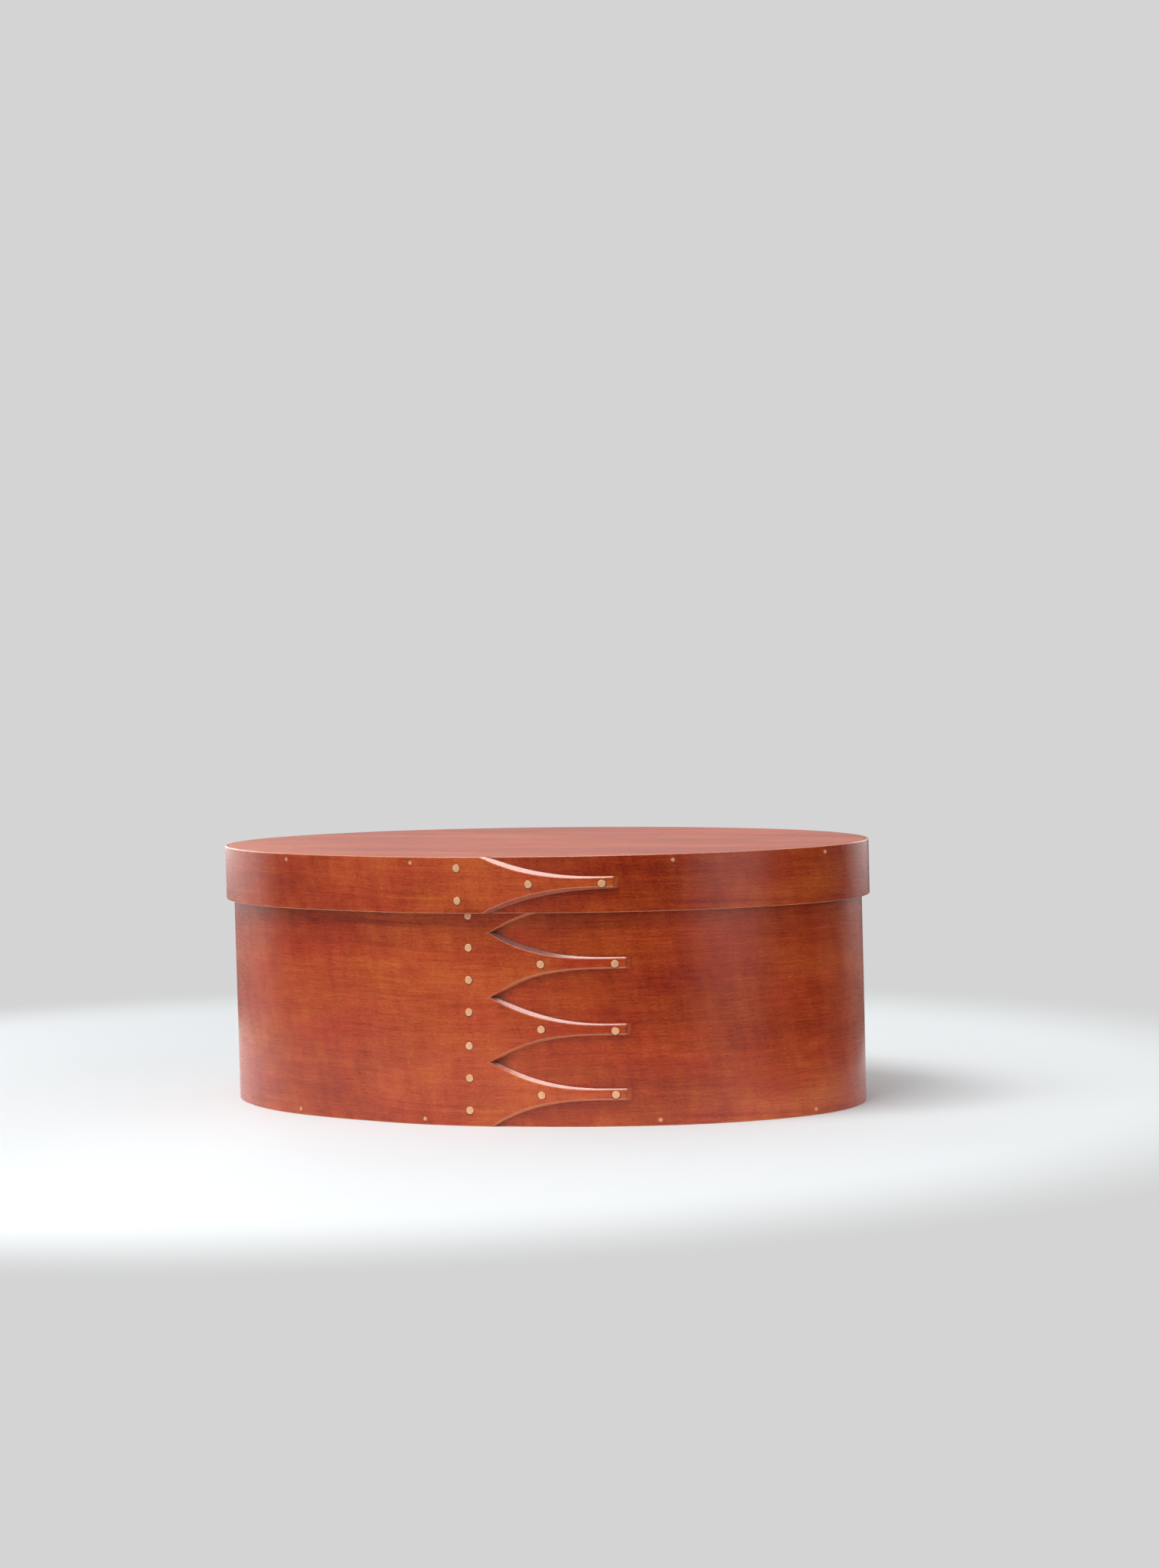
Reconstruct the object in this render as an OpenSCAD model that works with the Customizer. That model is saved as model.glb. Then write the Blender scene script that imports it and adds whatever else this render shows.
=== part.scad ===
// Oval bentwood box with a lift-off lid, in millimetres, +Z up.
// The origin is the middle of the underside. +X runs along the length of the oval, and the
// swallowtail fingers are on the -Y front.
//
// Both bands are strips bent round one oval. A place on a band is given by its run, the distance
// along the band from the middle of the front, positive to the right, and by its offset, the
// distance outwards from the box's single-layer outside.

/* [Box] */
// Length of the oval, outside the single layer of the box's band
box_length = 351.8; // [330:0.1:380]
// Depth of the oval, outside the single layer of the box's band
box_depth = 225; // [205:0.5:245]
// Height of the box's band
box_height = 131.3; // [110:0.1:150]
// Thickness of the box's band
band_t = 1.9; // [1.5:0.1:2.4]
// Thickness of the bottom board
bottom_t = 6; // [5:0.5:8]

/* [Lid] */
// Height of the lid's band
lid_height = 28.7; // [24:0.1:34]
// Thickness of the lid's band
lid_band_t = 1.9; // [1.5:0.1:2.4]
// Thickness of the lid's board
lid_board_t = 6; // [5:0.5:8]
// Gap between the lid's band and the lapped front of the box
lid_gap = 0.3; // [0.25:0.05:0.8]
// Gap between each board and the band round it
board_gap = 0.05; // [0.03:0.01:0.1]

/* [Fingers of the box] */
// Number of fingers
finger_count = 4; // [3:1:5]
// Run from the middle of the front to the crotches between the fingers
finger_root = 19.1; // [15:0.1:24]
// Run to the ends of the fingers
finger_reach = 89.3; // [82:0.1:95]
// Width of a finger at its end, across its flat
finger_tip_w = 4.4; // [4.2:0.1:6]
// How quickly a finger narrows from its root
finger_power = 2.85; // [2:0.05:3.5]
// How far the line of the fingers leans to the right for each mm of height
lap_lean = 0.018; // [0:0.002:0.03]

/* [Finger of the lid] */
// Run from the middle of the front to the root of the finger
lid_finger_root = 17; // [13:0.1:22]
// Run to the end of the finger
lid_finger_reach = 86; // [80:0.1:92]
// Width of the finger at its end, across its flat
lid_finger_tip_w = 4.2; // [4.2:0.1:6]
// How quickly the finger narrows from its root
lid_finger_power = 2.4; // [2:0.05:3.5]
// How far the finger climbs for each mm of run
lid_finger_climb = 0.016; // [0:0.002:0.02]

/* [Cut of the fingers] */
// Run over which a finger narrows
taper_run = 60; // [50:1:62]
// Width of the bevel along the sides of a finger
bevel_w = 2.1; // [1.5:0.1:3]
// Width of the bevel across the end of a finger
end_bevel_w = 2.6; // [1.5:0.1:3.5]
// Run over which the lap rises off the feathered inner end of the strip
feather_run = 45; // [30:1:55]
// Run from the middle of the front to where the lap has its full thickness, on the left
feather_end = 15; // [10:1:25]

/* [Tacks] */
// Diameter of a tack's head
head_d = 4; // [3.4:0.1:4.1]
// Thickness of a tack's head
head_t = 0.45; // [0.3:0.05:0.6]
// How far a head stands out of the wood
head_proud = 0.1; // [0:0.02:0.16]
// Diameter of a tack's shank
shank_d = 1.4; // [1:0.1:1.8]
// Diameter of the clinched point, inside
clinch_d = 2.6; // [2:0.1:3]
// Thickness of the clinched point
clinch_t = 0.35; // [0.2:0.05:0.5]
// Gap round a tack in its hole
tack_fit = 0.03; // [0.02:0.01:0.05]
// Run to the box's column of root tacks
root_tack_run = 8; // [5:0.1:12]
// Run to the box's middle tacks
middle_tack_run = 46.1; // [42:0.1:50]
// Run to the box's tip tacks
tip_tack_run = 83.8; // [78:0.1:85]
// Height between the two root tacks of a finger of the box
tack_pair = 16.4; // [12:0.1:20]
// Run to the lid's root tacks
lid_root_tack_run = 4.9; // [3:0.1:9]
// Run to the lid's middle tack
lid_middle_tack_run = 42.9; // [38:0.1:48]
// Run to the lid's tip tack
lid_tip_tack_run = 80.2; // [75:0.1:82]
// Height between the lid's two root tacks
lid_tack_pair = 16.5; // [12:0.1:18]
// Height of the lid's tacks above the middle of its band
lid_tack_rise = 0.4; // [-1:0.1:1]

/* [Pegs] */
// Diameter of a peg
peg_d = 2.2; // [1.8:0.1:2.6]
// Length of a peg, through the band and into the board
peg_length = 12; // [9:0.5:16]
// Gap round a peg in its hole
peg_fit = 0.03; // [0.02:0.01:0.05]
// Distance along the band between pegs
peg_step = 85; // [78:1:88]
// Number of pegs on either side of the lap
pegs_per_side = 5; // [3:1:5]
// Run to the box's first peg on the right of the lap
peg_right = 105; // [98:0.5:108]
// Run to the box's first peg on the left
peg_left = 18.4; // [14:0.1:24]
// Run to the lid's first peg on the right of the lap
lid_peg_right = 116; // [98:0.5:120]
// Run to the lid's first peg on the left
lid_peg_left = 21; // [14:0.1:26]

/* [Hidden] */
$fn = 128;

// Heights, from the surface that the box stands on
box_mid = box_height / 2;
lid_top_z = box_height + lid_board_t;
lid_z = lid_top_z - lid_height;
lid_mid = lid_z + lid_height / 2;
bottom_peg_z = bottom_t / 2;
lid_peg_z = lid_top_z - lid_board_t / 2;

// Offsets from the box's single-layer outside
box_inside = -band_t;
lid_inside = band_t + lid_gap;
lid_outside = lid_inside + lid_band_t;

// The oval: a flat arc at the front, a shoulder and a round end to each quarter. The centres of
// the arcs are the corners of a 5-12-13 triangle and of a 3-4-5 triangle, laid end to end, so
// that the arcs meet where they touch. The share brings the curve nearest to an ellipse.
half_length = box_length / 2;
half_depth = box_depth / 2;
ellipse_share = 0.142;
front_unit = round((half_length - half_depth) * ellipse_share * 100) / 100;
end_unit = (half_length - half_depth) / 2 - 2 * front_unit;
front_c = [0, 12 * front_unit + 3 * end_unit];
shoulder_c = [5 * front_unit, 3 * end_unit];
end_c = [5 * front_unit + 4 * end_unit, 0];
front_r = half_depth + front_c.y;
shoulder_r = front_r - 13 * front_unit;
end_r = shoulder_r - 5 * end_unit;

// Directions in which one arc hands over to the next, from the front towards the end
front_angle = atan2(5, 12);
end_angle = atan2(4, 3);

// A strip that is laid on a band sinks into it by this much, and a bevel is carried down into it
sink = 1;
bevel_sink = 0.5;
// Half the width of the wood left in the crotch between two fingers
crotch = 0.05;
// Run of flat strip between the sheet of the lap and the crotches
root_run = 3;
// Run by which the end of that sheet is tucked into the fingers
tuck_run = 1;
// Run between the sections of a finger and of a sheet
section_run = 3;
// Depth of a cut that has to come out of the wood
clear = 3;

// Length of a quarter of the oval at an offset, up to a direction
function arc_run(r, from, to, offset) = (r + offset) * (to - from) * PI / 180;
function front_run(offset) = arc_run(front_r, 0, front_angle, offset);
function shoulder_run(offset) = arc_run(shoulder_r, front_angle, end_angle, offset);
function end_run(offset) = arc_run(end_r, end_angle, 90, offset);
function quarter_run(offset) = front_run(offset) + shoulder_run(offset) + end_run(offset);

// Direction of the wall at a run of the front right quarter, in degrees from -Y towards +X
function quarter_angle(run, offset) =
    let (past_front = run - front_run(offset), past_shoulder = past_front - shoulder_run(offset))
    past_front < 0 ? run / front_run(offset) * front_angle
    : past_shoulder < 0
        ? front_angle + past_front / shoulder_run(offset) * (end_angle - front_angle)
    : end_angle + past_shoulder / end_run(offset) * (90 - end_angle);

// The same at any run up to half way round, on either side
function wall_angle(run, offset) =
    let (near = abs(run), quarter = quarter_run(offset))
    sign(run) * (near <= quarter ? quarter_angle(near, offset)
                                 : 180 - quarter_angle(2 * quarter - near, offset));

// Point of the oval with this direction, at an offset
function oval_point(angle, offset) =
    let (
        folded = abs(angle) > 90 ? 180 - abs(angle) : abs(angle),
        centre = folded < front_angle ? front_c : folded < end_angle ? shoulder_c : end_c,
        r = folded < front_angle ? front_r : folded < end_angle ? shoulder_r : end_r,
        p = centre + (r + offset) * [sin(folded), -cos(folded)]
    )
    [p.x * sign(angle), abs(angle) > 90 ? -p.y : p.y];

// Point at a run that is measured on the band whose outside is at offset base, lifted off it
function band_point(run, base, lift) = oval_point(wall_angle(run, base), base + lift);

// Thickness of the lap over the single layer: it climbs from inside the wood on the left
function lap_rise(run, t) =
    let (share = (run + feather_end + feather_run) / feather_run)
    share >= 1 ? t : share <= 0 ? 0 : max(0, (t + bevel_sink) * sin(90 * share) - bevel_sink);

// Half width of a finger across its flat: full at its root, and narrowing along a curve
function finger_half(run, root, half, tip_half, power) =
    let (share = min(max((run - root) / taper_run, 0), 1))
    tip_half + (half - crotch - tip_half) * (1 - share) ^ power;

// How far the fingers' line has leaned at a height on the box
function lean(z) = lap_lean * (z - box_mid);

// Middle height of one of the box's fingers
function finger_mid(i) = box_height / finger_count * (i + 0.5);

// An upright strip of the plane, taller than any oval
module strip(from_x, to_x) {
    tall = 2 * half_length;
    polygon([[from_x, -tall], [to_x, -tall], [to_x, tall], [from_x, tall]]);
}

// The filled oval at an offset, from true arcs
module oval(offset) {
    shoulder_x = (front_r + offset) * sin(front_angle);
    end_x = shoulder_c.x + (shoulder_r + offset) * sin(end_angle);
    intersection() {
        strip(-shoulder_x, shoulder_x);
        translate(front_c) circle(r = front_r + offset);
        translate(-front_c) circle(r = front_r + offset);
    }
    for (side = [0, 1]) mirror([side, 0]) {
        intersection() {
            strip(shoulder_x, end_x);
            translate(shoulder_c) circle(r = shoulder_r + offset);
            translate([shoulder_c.x, -shoulder_c.y]) circle(r = shoulder_r + offset);
        }
        intersection() {
            strip(end_x, 2 * half_length);
            translate(end_c) circle(r = end_r + offset);
        }
    }
}

// A board that fills the oval inside a wall
module board(wall_offset, z, t) {
    translate([0, 0, z]) linear_extrude(t) oval(wall_offset - board_gap);
}

// The single layer of a band
module layer(inside, outside, z, height) {
    translate([0, 0, z]) linear_extrude(height) difference() {
        oval(outside);
        oval(inside);
    }
}

// The flat part of a lap, from the feathered end to just before the fingers' roots
module lap_sheet(base, t, z, height, to_run) {
    from_run = -feather_end - feather_run;
    sections = ceil((to_run - from_run) / section_run);
    runs = [for (i = [0 : sections]) from_run + (to_run - from_run) * i / sections];
    outer = [for (run = runs) band_point(run, base, run == from_run ? -bevel_sink
                                                                    : lap_rise(run, t))];
    tuck = [for (lift = [t / 2, -sink]) band_point(to_run + tuck_run, base, lift)];
    inner = [for (i = [sections : -1 : 0]) band_point(runs[i], base, -sink)];
    translate([0, 0, z]) linear_extrude(height) polygon(concat(outer, tuck, inner));
}

// A solid through a row of sections with six points each, whose corners run on into mitres
module six_point_skin(sections) {
    last = len(sections) - 1;
    function at(j, k) = j * 6 + k % 6;
    sides = [for (j = [0 : last - 1], k = [0 : 5], half = [0, 1])
        k < 3 ? (half == 0 ? [at(j, k), at(j, k + 1), at(j + 1, k)]
                           : [at(j, k + 1), at(j + 1, k + 1), at(j + 1, k)])
              : (half == 0 ? [at(j, k), at(j + 1, k + 1), at(j + 1, k)]
                           : [at(j, k), at(j, k + 1), at(j + 1, k + 1)])];
    start = [[5, 4, 3, 2, 1, 0]];
    end = [[for (k = [0 : 5]) at(last, k)]];
    polyhedron(points = [for (section = sections) each section], faces = concat(start, sides, end));
}

// One finger with bevelled sides and end. Its flat fills the band from low to high at the root.
module finger(base, t, low, high, root, reach, tip_half, power, climb, leans) {
    half = (high - low) / 2;
    slope = t / bevel_w;
    foot_w = (t + bevel_sink) / slope;
    end_w = end_bevel_w * (t + bevel_sink) / t;
    tapered = ceil(taper_run / section_run);
    runs = concat([root - root_run], [for (i = [0 : tapered]) root + taper_run * i / tapered],
                  [reach, reach + end_w]);
    six_point_skin([for (run = runs)
        let (
            mid = (low + high) / 2 + climb * max(0, run - root),
            flat = finger_half(run, root, half, tip_half, power),
            top = run > reach ? -bevel_sink : t,
            low_foot = max(low, mid - flat - foot_w),
            high_foot = min(high, mid + flat + foot_w),
            low_lift = max(-bevel_sink, t - (mid - flat - low) * slope),
            high_lift = max(-bevel_sink, t - (high - mid - flat) * slope),
            corners = [[low_foot, -sink], [low_foot, low_lift], [mid - flat, top],
                       [mid + flat, top], [high_foot, high_lift], [high_foot, -sink]]
        )
        [for (corner = corners)
            let (p = band_point(run + (leans && run >= root ? lean(corner[0]) : 0), base, corner[1]))
            [p.x, p.y, corner[0]]]
    ]);
}

// Puts its children on a band, with their +Z outwards and 0 at the band's single-layer outside
module on_band(run, base, z) {
    p = band_point(run, base, 0);
    translate([p.x, p.y, z]) rotate([90, 0, wall_angle(run, base)]) children();
}

// A tack clinched through both layers of a lap. Its outline is worked out from the axis.
module tack(t) {
    top = t + head_proud;
    crown = head_t / 4;
    rotate_extrude() polygon([
        [0, -t], [clinch_d / 2, -t], [clinch_d / 2, clinch_t - t], [shank_d / 2, clinch_t - t],
        [shank_d / 2, top - head_t], [head_d / 2, top - head_t], [head_d / 2, top - crown],
        [head_d / 2 - crown, top], [0, top]
    ]);
}

// The hole that a tack leaves, with the wood let in for its head and its clinched point
module tack_hole(t) {
    floor_z = t + head_proud - head_t - tack_fit;
    translate([0, 0, floor_z]) cylinder(d = head_d + 2 * tack_fit, h = head_t + clear);
    translate([0, 0, -t - clear]) cylinder(d = shank_d + 2 * tack_fit, h = 2 * t + 2 * clear);
    translate([0, 0, -t - clear])
        cylinder(d = clinch_d + 2 * tack_fit, h = clear + clinch_t + tack_fit);
}

// A peg driven in from a place on the outside
module peg(rise) {
    translate([0, 0, rise - peg_length]) cylinder(d = peg_d, h = peg_length);
}

// The hole that takes a peg
module peg_hole(rise) {
    translate([0, 0, rise - peg_length - peg_fit])
        cylinder(d = peg_d + 2 * peg_fit, h = peg_length + peg_fit + clear);
}

// Places of the box's tacks, as run and height
root_tacks = [for (i = [0 : finger_count - 1], side = [-1, 1])
    let (z = finger_mid(i) + side * tack_pair / 2) [root_tack_run + lean(z), z]];
function finger_tacks(run) =
    [for (i = [0 : finger_count - 1]) [run + lean(finger_mid(i)), finger_mid(i)]];
middle_tacks = finger_tacks(middle_tack_run);
tip_tacks = finger_tacks(tip_tack_run);

// Places of the lid's tacks
lid_tack_z = lid_mid + lid_tack_rise;
lid_root_tacks =
    [for (side = [-1, 1]) [lid_root_tack_run, lid_tack_z + side * lid_tack_pair / 2]];
lid_finger_tacks = [for (run = [lid_middle_tack_run, lid_tip_tack_run]) [run, lid_tack_z]];

// Runs of the pegs, stepped off from either side of a lap
function peg_runs(right, left) =
    [for (i = [0 : pegs_per_side - 1]) each [right + i * peg_step, -left - i * peg_step]];
box_peg_runs = peg_runs(peg_right, peg_left);
lid_peg_runs = peg_runs(lid_peg_right, lid_peg_left);

// Draws its children at each of a list of places on the box, or on the lid
module on_box(places) {
    for (place = places) on_band(place[0], 0, place[1]) children();
}

module on_lid(places) {
    for (place = places) on_band(place[0], lid_outside, place[1]) children();
}

// Pegs of one band, or the holes for them
module pegs(runs, base, z, t) {
    for (run = runs) on_band(run, base, z) peg(run < 0 ? lap_rise(run, t) : 0);
}

module peg_holes(runs, base, z, t) {
    for (run = runs) on_band(run, base, z) peg_hole(run < 0 ? lap_rise(run, t) : 0);
}

// The box's strip, bent round and lapped, with its fingers
module box_band() {
    color("sienna") difference() {
        union() {
            layer(box_inside, 0, 0, box_height);
            lap_sheet(0, band_t, 0, box_height, finger_root - root_run);
            for (i = [0 : finger_count - 1])
                finger(0, band_t, box_height / finger_count * i,
                       box_height / finger_count * (i + 1), finger_root, finger_reach,
                       finger_tip_w / 2, finger_power, 0, true);
        }
        on_box(concat(root_tacks, middle_tacks, tip_tacks)) tack_hole(band_t);
        peg_holes(box_peg_runs, 0, bottom_peg_z, band_t);
    }
}

module box_bottom() {
    color("peru") difference() {
        board(box_inside, 0, bottom_t);
        peg_holes(box_peg_runs, 0, bottom_peg_z, band_t);
    }
}

module box_root_tacks() {
    color("burlywood") on_box(root_tacks) tack(band_t);
}

module box_middle_tacks() {
    color("burlywood") on_box(middle_tacks) tack(band_t);
}

module box_tip_tacks() {
    color("burlywood") on_box(tip_tacks) tack(band_t);
}

module box_pegs() {
    color("navajowhite") pegs(box_peg_runs, 0, bottom_peg_z, band_t);
}

// The lid's strip, bent round and lapped, with its one finger
module lid_band() {
    color("sienna") difference() {
        union() {
            layer(lid_inside, lid_outside, lid_z, lid_height);
            lap_sheet(lid_outside, lid_band_t, lid_z, lid_height, lid_finger_root - root_run);
            finger(lid_outside, lid_band_t, lid_z, lid_top_z, lid_finger_root,
                   lid_finger_reach, lid_finger_tip_w / 2, lid_finger_power, lid_finger_climb,
                   false);
        }
        on_lid(concat(lid_root_tacks, lid_finger_tacks)) tack_hole(lid_band_t);
        peg_holes(lid_peg_runs, lid_outside, lid_peg_z, lid_band_t);
    }
}

module lid_top() {
    color("peru") difference() {
        board(lid_inside, box_height, lid_board_t);
        peg_holes(lid_peg_runs, lid_outside, lid_peg_z, lid_band_t);
    }
}

module lid_root_tacks() {
    color("burlywood") on_lid(lid_root_tacks) tack(lid_band_t);
}

module lid_finger_tacks() {
    color("burlywood") on_lid(lid_finger_tacks) tack(lid_band_t);
}

module lid_pegs() {
    color("navajowhite") pegs(lid_peg_runs, lid_outside, lid_peg_z, lid_band_t);
}

box_band();
box_bottom();
box_root_tacks();
box_middle_tacks();
box_tip_tacks();
box_pegs();
lid_band();
lid_top();
lid_root_tacks();
lid_finger_tacks();
lid_pegs();
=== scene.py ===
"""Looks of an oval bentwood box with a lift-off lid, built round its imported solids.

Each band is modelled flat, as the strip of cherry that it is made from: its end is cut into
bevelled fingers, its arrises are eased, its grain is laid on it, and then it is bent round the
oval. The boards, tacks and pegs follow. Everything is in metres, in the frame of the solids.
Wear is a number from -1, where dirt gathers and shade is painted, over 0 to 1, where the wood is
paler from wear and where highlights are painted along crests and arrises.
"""
import logging
import math
import random
from dataclasses import dataclass, field
from enum import Enum
from functools import cached_property
from typing import Any, Callable, Iterable, NamedTuple, Optional, Sequence, Union

import bpy
from mathutils import Matrix, Vector


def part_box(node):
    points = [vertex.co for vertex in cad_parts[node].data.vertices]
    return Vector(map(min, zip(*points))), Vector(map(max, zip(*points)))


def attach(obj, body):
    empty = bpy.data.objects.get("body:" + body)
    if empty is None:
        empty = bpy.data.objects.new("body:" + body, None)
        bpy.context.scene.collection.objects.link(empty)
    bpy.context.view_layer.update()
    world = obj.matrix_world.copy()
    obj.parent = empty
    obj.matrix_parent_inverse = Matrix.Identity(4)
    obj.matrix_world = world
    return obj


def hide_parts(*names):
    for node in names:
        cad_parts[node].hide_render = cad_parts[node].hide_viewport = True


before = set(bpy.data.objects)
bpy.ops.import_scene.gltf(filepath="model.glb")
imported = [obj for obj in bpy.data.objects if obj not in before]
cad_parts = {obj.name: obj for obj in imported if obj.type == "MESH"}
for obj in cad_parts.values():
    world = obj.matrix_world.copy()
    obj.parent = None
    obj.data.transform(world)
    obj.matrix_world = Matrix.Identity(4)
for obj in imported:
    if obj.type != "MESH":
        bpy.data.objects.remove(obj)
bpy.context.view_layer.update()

log = logging.getLogger("oval_box")
MM = 0.001
MERGE = 0.002 * MM
SMOOTH_ANGLE = math.radians(40)
SEED = 7
# Direction from the camera into the room
AHEAD = (-0.3932, 0.9195, 0)

Piece = bpy.types.Object
Face = bpy.types.MeshPolygon
Material = bpy.types.Material
Colour = tuple[float, float, float]
Triple = tuple[float, float, float]
Pair = tuple[float, float]


class Slot(Enum):
    """Material slots of the record that the pieces take their finish from."""

    BAND = "cherry_band"
    BOARD = "cherry_board"
    COPPER = "copper"
    PEG = "peg_wood"


def ramp(value: float, start: float, length: float) -> float:
    """Climbs evenly from 0 at start to 1 a length further on."""
    return min(max((value - start) / length, 0.0), 1.0)


def smoothstep(value: float, start: float, end: float) -> float:
    """Eases from 0 at start to 1 at end."""
    share = ramp(value, start, end - start)
    return share * share * (3 - 2 * share)


def between(a: float, b: float, share: float) -> float:
    """The value at a share of the way from a to b."""
    return a + (b - a) * share


def stations(start: float, end: float, step: float) -> list[float]:
    """Evenly spaced places from start to just before end, at most a step apart."""
    count = max(1, math.ceil((end - start) / step - 1e-6))
    return [start + (end - start) * i / count for i in range(count)]


# Modelling by hand


def deselect() -> None:
    """Leaves object mode with nothing selected."""
    if bpy.context.object and bpy.context.object.mode != "OBJECT":
        bpy.ops.object.mode_set(mode="OBJECT")
    bpy.ops.object.select_all(action="DESELECT")


def pick(*pieces: Piece) -> None:
    """Selects some pieces and makes the first of them the active one.

    Args:
        pieces: The pieces to select.
    """
    deselect()
    for piece in pieces:
        piece.select_set(True)
    bpy.context.view_layer.objects.active = pieces[0]


def edit(piece: Piece, mode: str = "FACE", action: str = "SELECT") -> None:
    """Opens a piece in edit mode.

    Args:
        piece: The mesh to edit.
        mode: What its selection works on: VERT, EDGE or FACE.
        action: SELECT to have all of it selected, DESELECT for none.
    """
    pick(piece)
    bpy.ops.object.mode_set(mode="EDIT")
    bpy.ops.mesh.select_mode(type=mode)
    bpy.ops.mesh.select_all(action=action)


def select_faces(piece: Piece, wanted: Callable[[Face], bool]) -> int:
    """Selects the faces that pass a test, and leaves the piece in edit mode.

    Args:
        piece: The mesh.
        wanted: The test, on a face's place or normal.

    Returns:
        How many faces are selected.
    """
    edit(piece, action="DESELECT")
    bpy.ops.object.mode_set(mode="OBJECT")
    chosen = [wanted(face) for face in piece.data.polygons]
    piece.data.polygons.foreach_set("select", chosen)
    bpy.ops.object.mode_set(mode="EDIT")
    return sum(chosen)


def face_outwards() -> None:
    """Turns every face of the piece that is open in edit mode outwards."""
    bpy.ops.mesh.select_all(action="SELECT")
    bpy.ops.mesh.normals_make_consistent(inside=False)


def done(piece: Piece) -> Piece:
    """Closes edit mode."""
    bpy.ops.object.mode_set(mode="OBJECT")
    return piece


def disc(corners: int, radius: float, middle: Triple = (0, 0, 0)) -> Piece:
    """Adds a round level face with so many corners.

    Args:
        corners: How many corners it has.
        radius: Distance from its middle to a corner.
        middle: Place of its middle.

    Returns:
        The new piece.
    """
    deselect()
    bpy.ops.mesh.primitive_circle_add(vertices=corners, radius=radius, fill_type="NGON",
                                      location=middle)
    return bpy.context.object


def block(size: Triple, middle: Triple) -> Piece:
    """Adds a block, with its size and place in its mesh.

    Args:
        size: Its length along X, Y and Z.
        middle: Place of its middle.

    Returns:
        The new piece.
    """
    deselect()
    bpy.ops.mesh.primitive_cube_add(size=1, location=middle, scale=size)
    bpy.ops.object.transform_apply(location=True, scale=True)
    return bpy.context.object


def drawn_up(piece: Piece, steps: Iterable[Pair]) -> Piece:
    """Extrudes a level face into a solid.

    Args:
        piece: The face.
        steps: How far each step rises, and how many times as wide the face gets there.

    Returns:
        The piece, with its place in its mesh.
    """
    edit(piece)
    for rise, scale in steps:
        bpy.ops.mesh.extrude_region_move(TRANSFORM_OT_translate={"value": (0, 0, rise)})
        bpy.ops.transform.resize(value=(scale, scale, 1), center_override=(0, 0, 0))
    face_outwards()
    done(piece)
    bpy.ops.object.transform_apply(location=True)
    return piece


def sheet_of(name: str, rows: int, columns: int,
             place: Callable[[int, int], tuple[Vector, float]]) -> Piece:
    """Adds a grid, moves each of its corners to its place and notes its wear and painted light
    there.

    Args:
        name: Name of the new piece.
        rows: Corners along the grid.
        columns: Corners across the grid.
        place: Gives the place, and the wear and painted light, of the corner in a row and a column.

    Returns:
        The new piece.
    """
    deselect()
    bpy.ops.mesh.primitive_grid_add(x_subdivisions=rows - 1, y_subdivisions=columns - 1, size=1)
    piece = bpy.context.object
    piece.name = piece.data.name = name
    # The mark holds wear and dirt, and also painted shade and painted highlights
    worn = piece.data.attributes.new("worn", "FLOAT", "POINT")
    for corner, mark in zip(piece.data.vertices, worn.data):
        row = round((corner.co.x + 0.5) * (rows - 1))
        column = round((corner.co.y + 0.5) * (columns - 1))
        corner.co, mark.value = place(row, column)
    return piece


def joined(name: str, pieces: Sequence[Piece]) -> Piece:
    """Joins pieces into the first of them and renames it.

    Args:
        name: Name of the whole.
        pieces: The pieces to join.

    Returns:
        The whole.
    """
    pick(*pieces)
    bpy.ops.object.join()
    whole = bpy.context.object
    whole.name = whole.data.name = name
    return whole


def closed(piece: Piece) -> Piece:
    """Merges corners that meet, closes open ends and turns every face outwards.

    Args:
        piece: The mesh to close.

    Returns:
        The same piece.
    """
    edit(piece, "VERT")
    bpy.ops.mesh.remove_doubles(threshold=MERGE)
    bpy.ops.mesh.dissolve_degenerate(threshold=MERGE)
    bpy.ops.mesh.select_all(action="DESELECT")
    bpy.ops.mesh.select_non_manifold(extend=False, use_wire=False, use_multi_face=False,
                                     use_non_contiguous=False, use_verts=False)
    piece.update_from_editmode()
    if any(corner.select for corner in piece.data.vertices):
        bpy.ops.mesh.edge_face_add()
    face_outwards()
    return done(piece)


def smooth(piece: Piece) -> None:
    """Shades a piece smoothly up to an angle, with its large faces kept flat.

    Args:
        piece: The mesh to shade.
    """
    pick(piece)
    bpy.ops.object.shade_smooth_by_angle(angle=SMOOTH_ANGLE)
    bpy.ops.object.modifier_add(type="WEIGHTED_NORMAL")
    piece.modifiers[-1].keep_sharp = True
    bpy.ops.object.modifier_apply(modifier=piece.modifiers[-1].name)


@dataclass
class Part:
    """A piece of the box."""

    name: str
    node: str  # The solids that it stands for
    body: str  # The body that it rides on
    slot: Slot

    def fitted(self, piece: Piece) -> Piece:
        """Smooths the finished mesh and puts it on its body, in place of its solids.

        Args:
            piece: The finished mesh.

        Returns:
            The same piece.
        """
        smooth(piece)
        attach(piece, self.body)
        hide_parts(self.node)
        return piece


# The oval


@dataclass(frozen=True)
class Arc:
    """One arc of a quarter of the oval."""

    x: float  # Centre along the length
    y: float  # Centre towards the back, for the front quarters
    radius: float  # Radius at offset 0
    start: float  # Direction in which it starts, in radians from the front towards the end
    end: float  # Direction in which it ends

    def run(self, offset: float) -> float:
        """Length of the arc at an offset."""
        return (self.radius + offset) * (self.end - self.start)


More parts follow.
